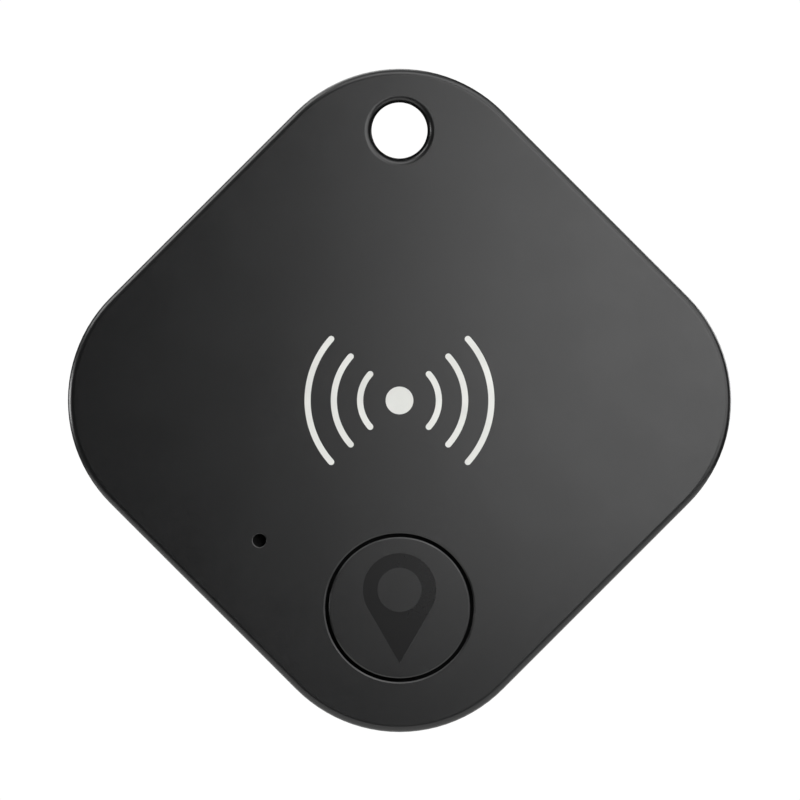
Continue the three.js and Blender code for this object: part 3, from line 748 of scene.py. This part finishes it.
def board_post(spot, roof):
    """A post that locates the board by its tip and stops it by its shoulder."""
    tip = [(0.35, -1.2), (0.55, -1.0), (0.55, 0.05), (0.92, 0.05), (1.0, 0.13), (1.0, roof)]
    return lathe([(0, -1.2), *tip, (0, roof)], spot, 32)


def button_opening():
    mouth = BUTTON_OPENING + OPENING_CHAMFER
    rim = chamfer(BUTTON_OPENING, mouth, OPENING_CHAMFER_DEPTH)
    return lathe([(0, 0), (BUTTON_OPENING, 0), *rim, (mouth, FRONT + 1), (0, FRONT + 1)], BUTTON, 128)


def port_opening():
    lip = PORT_RADIUS + PORT_FILLET
    wall = [(PORT_RADIUS, 0), *arc(lip, FRONT - PORT_FILLET, PORT_FILLET, 180, 90, 5), (lip, FRONT + 1)]
    return lathe([(0, 0), *wall, (0, FRONT + 1)], PORT, 40)


def front_shell():
    ease = LIP * 0.3
    flank = [(diamond(LIP), PARTING), (diamond(ease), PARTING + ease), (diamond(0), PARTING + LIP)]
    shell = stack([*flank, *rolled(FRONT, 1)])
    side = ACROSS_FLATS / 2 - REBATE
    cut(
        shell,
        prism(diamond(WALL), PARTING - 1, INSIDE_FRONT),
        prism(diamond(REBATE), PARTING - 1, PARTING + TONGUE_HEIGHT + FIT),
        *rails(8.4, side - 1, side + 0.25, PARTING + 0.35, PARTING + 0.75),
    )
    roof = INSIDE_FRONT + 0.2
    fence = cut(
        tube(10.3, 10.75, 0.3, roof, DOOR),
        block(-12, -8, DOOR.y - 5, DOOR.y + 5, 0, FRONT),
        block(-3.2, 3.2, DOOR.y + 7, DOOR.y + 12, 0, FRONT),
        disc(6.4, 0, FRONT, BUTTON),
        placed(block(9.35, 17.45, -4.05, 4.05, 0, FRONT), (0, 0), 225),
    )
    posts = [board_post(spot, roof) for spot in BOARD_POSTS]
    top = BUTTON.y - BUTTON_FLANGE - 0.15
    ribs = [block(x, x + 0.6, top - 0.9, top, 1.8, roof) for x in (-1.3, 0.7)]
    join(shell, fence, *posts, *ribs, disc(LANYARD_BOSS, PARTING + 0.02, roof, LANYARD, 64))
    cut(shell, lanyard_bore(), button_opening(), port_opening())
    # Painted shade: the lanyard bore and the wall of the button opening take the darker black finishes.
    paint(shell, 1, lambda spot, normal: in_bore(spot, normal, LANYARD, LANYARD_MOUTH))
    paint(shell, 2, lambda spot, normal: in_bore(spot, normal, BUTTON, BUTTON_OPENING))
    finishes = [shell_plastic, bore_shade_plastic, gap_shade_plastic]
    finished(shell, "front_shell", "case", finishes)


def bayonet_tab(middle_angle):
    """One tab of the door seat, thinned along the helix that its lug climbs."""
    sections = []
    for step in range(15):
        angle = 14 - 2 * step
        turn = max(10 - angle, 0)
        top = LUG_BACK - FIT - RISE_PER_TURN * turn / 360
        aim = math.radians(middle_angle + angle)
        ring = [(11.0, DOOR_SHELF), (12.2, DOOR_SHELF), (12.2, top), (11.1, top), (11.0, top - 0.1)]
        sections.append([(DOOR.x + r * math.cos(aim), DOOR.y + r * math.sin(aim), z) for r, z in ring])
    return loft(sections)


def sunk_dot(x, y):
    """Cutter for a shallow round dot in the back."""
    wall = [(0.34, BACK + 0.2), (0.4, BACK + 0.14), (0.4, BACK + 0.06), (0.46, BACK), (0.46, BACK - 1)]
    return lathe([(0, BACK + 0.2), *wall, (0, BACK - 1)], (x, y), 32)


def rear_shell():
    top = PARTING - PARTING_GROOVE
    ease = LIP * 0.3
    flank = [(diamond(0), top - LIP), (diamond(ease), top - ease), (diamond(LIP), top)]
    shell = stack([*rolled(BACK, -1)[::-1], *flank])
    cut(shell, prism(diamond(WALL), INSIDE_BACK, FRONT))
    tongue = [(REBATE + FIT, PARTING - 0.6), (REBATE + FIT, -0.15), (REBATE + FIT + 0.1, -0.05)]
    ring = cut(
        stack([(diamond(inset), z) for inset, z in tongue]),
        prism(diamond(WALL), BACK, FRONT),
        disc(LANYARD_BOSS + 0.15, PARTING - FIT, FRONT, LANYARD, 64),
    )
    side = ACROSS_FLATS / 2 - REBATE - FIT
    boss = disc(LANYARD_BOSS, INSIDE_BACK - 0.2, PARTING - FIT, LANYARD, 64)
    join(shell, ring, *rails(8, side - 0.2, side + 0.2, PARTING + 0.4, PARTING + 0.7), boss)
    recess = [(COLLAR_BORE, FRONT), (COLLAR_BORE, DOOR_SHELF), (DOOR_RECESS, DOOR_SHELF)]
    recess += [(DOOR_RECESS, BACK + 0.14), (DOOR_RECESS + 0.04, BACK + 0.04), (DOOR_RECESS + 0.14, BACK)]
    recess += [(DOOR_RECESS + 0.14, BACK - 1), (0, BACK - 1)]
    cut(shell, lathe([(0, FRONT), *recess], DOOR, 160))
    collar = tube(COLLAR_BORE, COLLAR_OUTER, INSIDE_BACK - 0.2, COLLAR_FRONT, DOOR, 0.1)
    join(shell, collar, *[bayonet_tab(angle) for angle in LUG_MIDDLES])
    dots = []
    for angle in (90, 66):
        x, y = arc(DOOR.x, DOOR.y, DOOR_RECESS + 1.2, angle, angle, 1)[0]
        dots.append(sunk_dot(x, y))
    cut(shell, lanyard_bore(), *dots)
    # Painted shade: the lanyard bore takes the darker black finish.
    paint(shell, 1, lambda spot, normal: in_bore(spot, normal, LANYARD, LANYARD_MOUTH))
    finished(shell, "rear_shell", "case", [shell_plastic, bore_shade_plastic])


# ---------------------------------------- button and door


def pin_outline():
    """The map-pin icon: a round head whose sides run straight to the tip."""
    touch = math.degrees(math.asin(PIN_HEAD_RADIUS / (PIN_TIP_DROP + PIN_HEAD_RISE)))
    head = arc(0, PIN_HEAD_RISE, PIN_HEAD_RADIUS, -touch, 180 + touch, 80)
    return [*head, (0, -PIN_TIP_DROP)]


def button_cap():
    flange_top = INSIDE_FRONT - FIT
    flange_bottom = flange_top - 0.5
    crown = chamfer(BUTTON_CAP, BUTTON_CAP - CAP_CHAMFER, CAP_CHAMFER_DEPTH)
    flange = [(5.0, flange_bottom), (BUTTON_FLANGE, flange_bottom)]
    flange += [(BUTTON_FLANGE, flange_top), (5.2, flange_top)]
    flange_rim = eased(flange, 0.08)[4:12]
    side = [(5.0, flange_bottom), *flange_rim, (BUTTON_CAP, flange_top), *crown]
    body = lathe([(0, flange_bottom), *side, (0, FRONT)], (0, 0), 128)
    join(body, block(-0.6, 0.6, -6.1, -BUTTON_FLANGE + 0.5, flange_bottom, flange_top))
    cut(body, disc(BUTTON_CAP - 0.9, flange_bottom - 1, FRONT - 1.0))
    foot = PLUNGER_TOP + FIT
    stem = [(STEM_RADIUS - 0.1, foot), (STEM_RADIUS, foot + 0.1), (STEM_RADIUS, FRONT - 0.8)]
    join(body, lathe([(0, foot), *stem, (0, FRONT - 0.8)], (0, 0), 32))
    floor = FRONT - PIN_DEPTH
    eye = disc(PIN_EYE_RADIUS, FRONT - 1, FRONT + 2, (0, PIN_HEAD_RISE), 72)
    cut(body, cut(prism(pin_outline(), floor, FRONT + 1), eye))
    paint(body, 1, lambda spot, normal: abs(spot.z - floor) < 0.01 and spot.xy.length < 4)
    # Painted shade: the cap's sides, flange and stem, down in the gap round it, take the darker black
    # finish.
    paint(body, 2, lambda spot, normal: spot.z < FRONT - 0.06)
    placed(body, BUTTON.xy)
    finishes = [button_plastic, icon_plastic, gap_shade_plastic]
    finished(body, "button_cap", "button", finishes)


def coin_slot():
    """Cutter for the coin slot, with a rounded floor and an eased mouth."""
    floor = BACK + SLOT_DEPTH
    angles = [math.pi / 2 * step / 4 for step in range(5)]
    levels = [(0.25 * (1 - math.sin(angle)), floor - 0.25 * (1 - math.cos(angle))) for angle in angles]
    levels += [(-0.14 * (1 - math.cos(angle)), BACK + 0.14 * (1 - math.sin(angle))) for angle in angles]
    levels.append((-0.14, BACK - 1))
    outlines = []
    for inset, z in levels[::-1]:
        radius = SLOT_HALF_WIDTH - inset
        right = arc(SLOT_HALF_LENGTH, 0, radius, -90, 90, 16)
        left = arc(-SLOT_HALF_LENGTH, 0, radius, 90, 270, 16)
        outlines.append((right + left, z))
    return stack(outlines)


def battery_door():
    edge = arc(DOOR_RADIUS - 0.16, BACK + 0.16, 0.16, -90, 0, 6)
    profile = [*edge, (DOOR_RADIUS, DOOR_RIM - 0.05), (DOOR_RADIUS - 0.05, DOOR_RIM), (10.9, DOOR_RIM)]
    profile += [(10.9, -1.1), (10.85, LUG_FRONT), (10.3, LUG_FRONT), (10.25, -1.1), (10.25, DOOR_RIM)]
    profile += [(10.2, DOOR_RIM), (10.2, DOOR_SHELF - 0.05), (10.15, DOOR_SHELF), (0, DOOR_SHELF)]
    body = lathe([(0, BACK), *profile], (0, 0), 160)
    lugs = []
    for angle in LUG_MIDDLES:
        outline = arc(0, 0, 11.75, angle - 10, angle + 10, 8)
        outline += arc(0, 0, 10.45, angle + 10, angle - 10, 8)
        lugs.append(prism(outline, LUG_BACK, LUG_FRONT))
    join(body, *lugs)
    placed(body, (DOOR.x, DOOR.y))
    cut(body, placed(coin_slot(), (DOOR.x, DOOR.y)), sunk_dot(DOOR.x, DOOR.y + DOOR_RADIUS - 1.2))
    finished(body, "battery_door", "door", shell_plastic)


def front_mark():
    """A generic wireless sign: a dot with three waves on each side."""
    low = FRONT - INK_SUNK
    high = low + INK_THICK
    half = MARK_STROKE / 2
    parts = [disc(MARK_DOT, low, high, (0, 0), 96)]
    for radius in MARK_ARCS:
        for side in (0, 180):
            start = side - MARK_HALF_ANGLE
            end = side + MARK_HALF_ANGLE
            ends = [arc(0, 0, radius, angle, angle, 1)[0] for angle in (start, end)]
            outline = arc(0, 0, radius + half, start, end, 64)
            outline += arc(*ends[1], half, end, end + 180, 12)[1:-1]
            outline += arc(0, 0, radius - half, end, start, 64)
            outline += arc(*ends[0], half, start + 180, start + 360, 12)[1:-1]
            parts.append(prism(outline, low, high))
    finished(gathered(*parts), "front_mark", "case", printed_mark, [])


def door_seal():
    centre = (DOOR_RIM + DOOR_SHELF) / 2
    ring = lathe(arc(12.38, centre, 0.27, 0, 360, 20)[:-1], DOOR, 128)
    finished(ring, "battery_door_seal", "seal", seal_rubber)


def door_pad():
    low, high = drawn_box("battery_door_pad")
    waist = (5.9, (low.z + high.z) / 2)
    side = [(5.8, low.z), (5.94, low.z + 0.12), waist, (5.94, high.z - 0.12), (5.8, high.z)]
    pad = lathe([(0, low.z), *side, (0, high.z)], DOOR, 96)
    finished(pad, "battery_door_pad", "door", pad_foam)


def port_mesh():
    low, high = drawn_box("sound_port_mesh")
    side = [(1.55, low.z), (1.6, low.z + 0.04), (1.6, high.z - 0.04), (1.55, high.z)]
    mesh = lathe([(0, low.z), *side, (0, high.z)], PORT, 48)
    finished(mesh, "sound_port_mesh", "case", dust_mesh)


# ---------------------------------------- coin cell and contacts


def cell_can_profile(back, rim):
    """Section of the can: a stepped bottom, and a wall crimped in over the gasket."""
    bottom = [(0, back), (6.0, back), (6.1, back + 0.03), (9.6, back + 0.03)]
    wall = [(10, back + 0.3), (10, rim - 0.4), (9.65, rim), (9.25, rim)]
    inside = [(9.25, rim - 0.2), (9.75, rim - 0.42), (9.75, back + 0.32), (0, back + 0.32)]
    return [*bottom, *wall, *inside]


def cell_lid_profile(back, front):
    """Section of the lid: a shallow cup whose wall goes down into the can."""
    inside = [(0, front - 0.25), (8.55, front - 0.25), (8.55, back + 0.9), (8.85, back + 0.9)]
    outside = [(8.85, front - 0.3), (8.5, front), (7.2, front), (7.1, front - 0.02), (0, front - 0.02)]
    return [*inside, *outside]


def cell_gasket_profile(back, rim):
    """Section of the gasket between the can and the lid."""
    outside = [(8.55, back + 0.4), (9.65, back + 0.4), (9.65, rim - 0.5), (9.15, rim - 0.25)]
    inside = [(9.15, rim + 0.05), (8.9, rim + 0.05), (8.9, back + 0.8), (8.55, back + 0.8)]
    return [*outside, *inside]


def coin_cell():
    back = drawn_box("cell_can")[0].z
    front = drawn_box("cell_lid")[1].z
    rim = front - 0.3
    for name, profile, ease, slot, look in (
        ("cell_can", cell_can_profile(back, rim), 0.14, "steel", steel),
        ("cell_lid", cell_lid_profile(back, front), 0.14, "steel", steel),
        ("cell_gasket", cell_gasket_profile(back, rim), 0.06, "cell_gasket_plastic", gasket_plastic),
    ):
        finished(lathe(eased(profile, ease), DOOR, 128), name, "case", look)
    for name, radius, look in (
        ("cell_pellet", 7.8, cell_pellet),
        ("cell_separator", 8.3, cell_separator),
        ("cell_lithium", 7.8, cell_lithium),
    ):
        low, high = drawn_box(name)
        edge = [(0, low.z), (radius, low.z), (radius, high.z), (0, high.z)]
        finished(lathe(eased(edge, 0.1), DOOR, 96), name, "case", look)
    for name in ("battery_contact_positive", "battery_contact_negative"):
        finished(copy_of(name), name, "case", nickel, bevel=0.04)


# ---------------------------------------- board and what is soldered to it


def main_board():
    low, high = drawn_box("main_board")
    levels = [(1.83, low.z), (1.8, low.z + 0.03), (1.8, high.z - 0.03), (1.83, high.z)]
    board = stack([(diamond(inset), z) for inset, z in levels])
    holes = [disc(10.6, -2, 2, DOOR, 128), disc(LANYARD_BOSS + 0.4, -2, 2, LANYARD, 64)]
    holes += [disc(0.7, -2, 2, spot, 32) for spot in BOARD_POSTS]
    finished(cut(board, *holes), "main_board", "case", board_laminate)


def switch_base():
    """The moulded base, with the well that the snap dome sits in."""
    low, high = drawn_box("switch_base")
    narrow = rounded_box(4.9, 4.9, 0.3)
    wide = rounded_box(5, 5, 0.35)
    base = stack([(narrow, low.z), (wide, low.z + 0.05), (wide, high.z - 0.05), (narrow, high.z)])
    cut(base, lathe([(0, 0.2), (1.85, 0.2), (1.9, 0.25), (1.9, 2), (0, 2)], (0, 0), 48))
    finished(placed(base, BUTTON.xy), "switch_base", "case", switch_plastic)


def switch_cover():
    """The sheet cover, folded down over two sides of the base."""
    plate = rounded_box(5, 5.3, 0.4)
    cover = stack([(plate, 0.9), (plate, 0.98), (rounded_box(4.9, 5.2, 0.35), 1.03)])
    flaps = [block(-2, 2, side * 2.59 - 0.06, side * 2.59 + 0.06, 0.35, 0.95) for side in (-1, 1)]
    join(cover, *flaps)
    cut(cover, lathe([(0, 0), (1.2, 0), (1.2, 0.98), (1.26, 1.031), (1.26, 2), (0, 2)], (0, 0), 48))
    finished(placed(cover, BUTTON.xy), "switch_cover", "case", steel)


def switch_plunger():
    foot = [(0, 0.58), (1.6, 0.58), (1.6, 0.8), (1.05, 0.8), (1.05, PLUNGER_TOP - 0.05)]
    top = [(0.95, PLUNGER_TOP), (0.5, PLUNGER_TOP), (0.4, PLUNGER_TOP - 0.04), (0, PLUNGER_TOP - 0.04)]
    plunger = lathe(eased([*foot, *top], 0.07), BUTTON, 48)
    finished(plunger, "switch_plunger", "plunger", switch_plastic)


def switch_dome():
    """The snap dome, drawn at rest; the real one flattens under the plunger."""
    under = [(1.75 * step / 10, 0.44 - 0.21 * (step / 10) ** 2) for step in range(11)]
    over = [(radius, z + 0.085) for radius, z in under[::-1]]
    dome = finished(lathe([*under, *over], BUTTON, 48), "switch_dome", "case", domed_steel)
    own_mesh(dome)


def tact_switch():
    switch_base()
    switch_cover()
    switch_plunger()
    switch_dome()
    for side in ("left", "right"):
        name = "switch_terminal_" + side
        finished(copy_of(name), name, "case", tin, bevel=0.04)


def bar(length, width, height, cap, radius=0.05):
    """A chip lying along x from z = 0, with metal caps on both ends. Its tones are 0 for its sides, 1 for
    its caps and 2 for its top."""
    end = -length / 2
    half = []
    for step in (3, 2, 1, 0):
        angle = math.pi / 2 * step / 3
        half.append((end + radius * (1 - math.sin(angle)), radius * (1 - math.cos(angle))))
    half += [(end + cap, 0.0), (end + cap + 0.01, 0.02)]
    sections = []
    for x, inset in half + [(-x, inset) for x, inset in half[::-1]]:
        outline = rounded_box(width - 2 * inset, height - 2 * inset, radius, 3)
        sections.append([(x, y, z + height / 2) for y, z in outline])
    obj = loft(sections)
    for polygon in obj.data.polygons:
        polygon.material_index = 1 if abs(polygon.center.x) > length / 2 - cap - 0.001 else 0
        if polygon.material_index == 0 and polygon.normal.z > 0.9:
            polygon.material_index = 2
    return obj


def package(length, width, height, draft=0.06, radius=0.12):
    """A moulded chip body from z = 0, drafted to its mould line, with a sunk dot at its first corner."""
    mould_line = height * 0.45
    levels = [(draft, 0.02), (0.0, mould_line), (draft, height - 0.03), (draft + 0.03, height)]
    body = drafted_box(length, width, radius, levels, 4)
    dot = min(length, width) * 0.09
    spot = (-length / 2 + 2.6 * dot + draft, -width / 2 + 2.6 * dot + draft)
    sunk = [(0, height - 0.04), (dot, height - 0.04), (dot, 1 + height), (0, 1 + height)]
    return cut(body, lathe(sunk, spot, 24))


def lead(x, y, width, reach, height, turn=0.0):
    """A formed and tinned lead: out of the body at that height, down, and along the board."""
    thick = 0.12
    lower = [(0, height), (reach * 0.45, height), (reach * 0.6, 0.0), (reach, 0.0)]
    upper = [(px + (thick * 0.6 if 0 < i < 3 else 0), pz + thick) for i, (px, pz) in enumerate(lower)]
    outline = lower + upper[::-1]
    obj = loft([[(px, side * width / 2, pz) for px, pz in outline] for side in (-1, 1)])
    return toned(placed(obj, (x, y), turn), 1)


def square_pads(half, count, pitch, reach):
    """Tinned pads under the edge of a chip, on all four sides."""
    pads = []
    for turn in (0, 90, 180, 270):
        for i in range(count):
            y = (i - (count - 1) / 2) * pitch
            pad = block(half - reach, half + 0.02, y - pitch * 0.28, y + pitch * 0.28, 0.0, 0.2)
            pads.append(toned(placed(pad, (0, 0), turn), 1))
    return pads


def soldered(name, obj, turn, materials):
    """Stands a chip, drawn about (0, 0) from z = 0, where its CAD node is."""
    low, high = drawn_box(name)
    spot = (low + high) / 2
    placed(obj, (spot.x, spot.y, low.z), turn)
    finished(obj, name, "case", materials)


def crystal(length, width, height):
    """A crystal's ceramic base with its metal lid."""
    seam = height * 0.42
    base = prism(rounded_box(length, width, 0.1), 0, seam)
    lid = [(0.12, seam), (0.12, height * 0.5), (0.2, height * 0.54), (0.2, height - 0.06), (0.25, height)]
    return gathered(base, toned(drafted_box(length, width, 0.18, lid), 1))


def transistor():
    spots = ((-0.95, 0.6, 90), (0.95, 0.6, 90), (0, -0.6, -90))
    leads = [lead(x, y, 0.4, 0.5, 0.45, turn) for x, y, turn in spots]
    return gathered(package(2.9, 1.3, 1.0, 0.07, 0.08), *leads)


def diode():
    leads = [lead(0.8, 0, 0.3, 0.4, 0.4), lead(-0.8, 0, 0.3, 0.4, 0.4, 180)]
    band = toned(block(-0.72, -0.42, -0.55, 0.55, 0.86, 0.905), 2)
    return gathered(package(1.7, 1.25, 0.9, 0.06, 0.06), *leads, band)


def board_parts():
    epoxy = [chip_epoxy, tin, diode_band]
    quartz = [white_ceramic, steel]
    tan = [capacitor_ceramic, tin, capacitor_ceramic]
    blue = [inductor_ceramic, tin, white_ceramic]
    white = [white_ceramic, tin, white_ceramic]
    black = [white_ceramic, tin, resistor_glass]
    radio_chip = gathered(package(4.96, 4.96, 0.85, 0.01), *square_pads(2.5, 8, 0.5, 0.4))
    soldered("radio_chip", radio_chip, CHIP_TURN, epoxy[:2])
    soldered("radio_crystal", crystal(2.5, 2.0, 0.6), CHIP_TURN, quartz)
    soldered("clock_crystal", crystal(1.5, 3.2, 0.8), CHIP_TURN, quartz)
    for name in ("radio_capacitor_1", "radio_capacitor_2", "radio_capacitor_3"):
        soldered(name, bar(1.0, 0.5, 0.5, 0.25), CHIP_TURN, tan)
    soldered("matching_capacitor", bar(1.0, 0.5, 0.5, 0.25), 90, tan)
    soldered("matching_inductor", bar(1.0, 0.5, 0.5, 0.22), 90, blue)
    soldered("chip_antenna", bar(5.2, 2.0, 1.2, 0.5, 0.06), 90, white)
    soldered("bulk_capacitor", bar(3.2, 2.5, 1.9, 0.6, 0.16), 90, tan)
    soldered("buzzer_resistor", bar(1.0, 0.5, 0.35, 0.22, 0.03), 90, black)
    soldered("buzzer_transistor", transistor(), 90, epoxy[:2])
    soldered("buzzer_diode", diode(), 90, epoxy)


def buzzer():
    low, high = drawn_box("buzzer_case")
    centre = (low + high) / 2
    top = high.z
    levels = [(0.06, low.z), (0.0, low.z + 0.06), (0.0, top - 0.1), (0.03, top - 0.03), (0.1, top)]
    body = drafted_box(7.5, 7.5, 0.8, levels)
    hole = [(0, 1.8), (0.9, 1.8), (0.9, top - 0.06), (0.96, top + 0.001), (0.96, 4), (0, 4)]
    cut(body, disc(3.1, low.z + 0.3, top - 0.35, (0, 0), 64), lathe(hole, (0, 0), 40))
    finished(placed(body, centre.xy, 45), "buzzer_case", "case", buzzer_plastic)
    plate = [(0, 1.6), (1.2, 1.6), (1.2, 1.75), (3.0, 1.75), (3.0, 1.85), (0, 1.85)]
    finished(lathe(eased(plate, 0.03), centre, 64), "buzzer_diaphragm", "case", steel)
    winds = 9
    pitch = 0.9 / winds
    outside = []
    for i in range(winds):
        outside += arc(1.96, 0.4 + pitch * (i + 0.5), pitch / 2, -90, 90, 5)[: 5 if i < winds - 1 else 6]
    finished(lathe([(0.9, 0.4), *outside, (0.9, 1.3)], centre, 64), "buzzer_coil", "case", copper)
    core = [(0, 0.4), (0.75, 0.4), (0.75, 1.45), (0, 1.45)]
    finished(lathe(eased(core, 0.08), centre, 48), "buzzer_core", "case", steel)


front_shell()
rear_shell()
button_cap()
battery_door()
front_mark()
door_seal()
door_pad()
port_mesh()
coin_cell()
main_board()
tact_switch()
board_parts()
buzzer()

# ---------------------------------------- floor, light and camera


def floor_material():
    look = Look("studio_floor", (0.8, 0.8, 0.79), 0.85)
    look.mix(look.ramp(look.noise(40.0, 3.0), 0.3, 0.7, 0.0, 0.4), (0.77, 0.77, 0.765))
    look.bump(look.noise(1.5, 3.0), 0.02)
    return look.done()


def studio_floor():
    """A pale round floor below the tag. It only lights the tag: the camera sees the white world instead, as
    in the photograph."""
    bm = bmesh.new()
    ring = [bm.verts.new((x, y, FLOOR_HEIGHT)) for x, y in circle(FLOOR_RADIUS, 96, 0, FLOOR_SHIFT)]
    bm.faces.new(ring)
    obj = new_object("studio_floor", bm)
    obj.data.materials.append(floor_material())
    obj.visible_camera = False


def softbox(name, spot, target, size, power, height=None):
    """An area light at spot, aimed at target; both in metres from the middle of the case."""
    light = bpy.data.lights.new(name, "AREA")
    light.shape = "RECTANGLE"
    light.size = size
    light.size_y = height or size
    light.energy = power
    obj = bpy.data.objects.new(name, light)
    obj.location = CASE_MIDDLE + Vector(spot)
    aim = CASE_MIDDLE + Vector(target) - obj.location
    obj.rotation_euler = aim.to_track_quat("-Z", "Y").to_euler()
    obj.visible_camera = False
    bpy.context.scene.collection.objects.link(obj)


def studio_world():
    """White where the camera sees past the object, and a dim even light on everything else."""
    world = bpy.data.worlds.new("studio")
    world.use_nodes = True
    tree = world.node_tree
    shown = tree.nodes.new("ShaderNodeLightPath")
    white = tree.nodes.new("ShaderNodeBackground")
    white.inputs["Color"].default_value = (1, 1, 1, 1)
    white.inputs["Strength"].default_value = WORLD_SHOWN
    dim = tree.nodes["Background"]
    dim.inputs["Color"].default_value = (1, 1, 1, 1)
    dim.inputs["Strength"].default_value = WORLD_LIGHT
    choice = tree.nodes.new("ShaderNodeMixShader")
    tree.links.new(shown.outputs["Is Camera Ray"], choice.inputs[0])
    tree.links.new(dim.outputs[0], choice.inputs[1])
    tree.links.new(white.outputs[0], choice.inputs[2])
    tree.links.new(choice.outputs[0], tree.nodes["World Output"].inputs["Surface"])
    bpy.context.scene.world = world


def front_camera():
    """Square on to the front face, without perspective."""
    data = bpy.data.cameras.new("camera")
    data.type = "ORTHO"
    data.ortho_scale = VIEW_HEIGHT
    data.clip_start = 0.01
    data.clip_end = 10.0
    camera = bpy.data.objects.new("camera", data)
    camera.location = CASE_MIDDLE + Vector(VIEW_SPOT)
    camera.rotation_euler = (math.radians(90), 0, 0)
    bpy.context.scene.collection.objects.link(camera)
    bpy.context.scene.camera = camera


studio_floor()
softbox("key", (0.0338, -0.100, 0.0235), (0.0338, 0, 0.0235), 0.064, 0.0515, height=0.076)
softbox("upper_left", (-0.22, -0.02, 0.22), (0, 0, 0), 0.18, 0.50)
softbox("left", (-0.30, -0.015, 0.01), (0, 0, 0), 0.14, 0.30, height=0.08)
softbox("right", (0.162, -0.141, 0.03), (0, 0, 0), 0.13, 0.24, height=0.24)
softbox("upper", (0.03, -0.135, 0.175), (0, 0, 0), 0.24, 0.25, height=0.12)
softbox("far_right", (0.22, -0.03, 0.22), (0, 0, 0), 0.20, 0.16)
softbox("low_left", (-0.20, 0.03, -0.005), (0, 0, -0.01), 0.10, 0.08, height=0.05)
softbox("top", (0.0, -0.08, 0.45), (0, 0, 0), 0.5, 0.5)
softbox("rear_top", (-0.10, 0.30, 0.34), (0, 0, 0), 0.30, 0.8)
softbox("rear_right", (0.24, 0.26, 0.08), (0, 0, 0), 0.22, 0.6)
studio_world()
front_camera()
bpy.context.scene.view_settings.view_transform = "Standard"
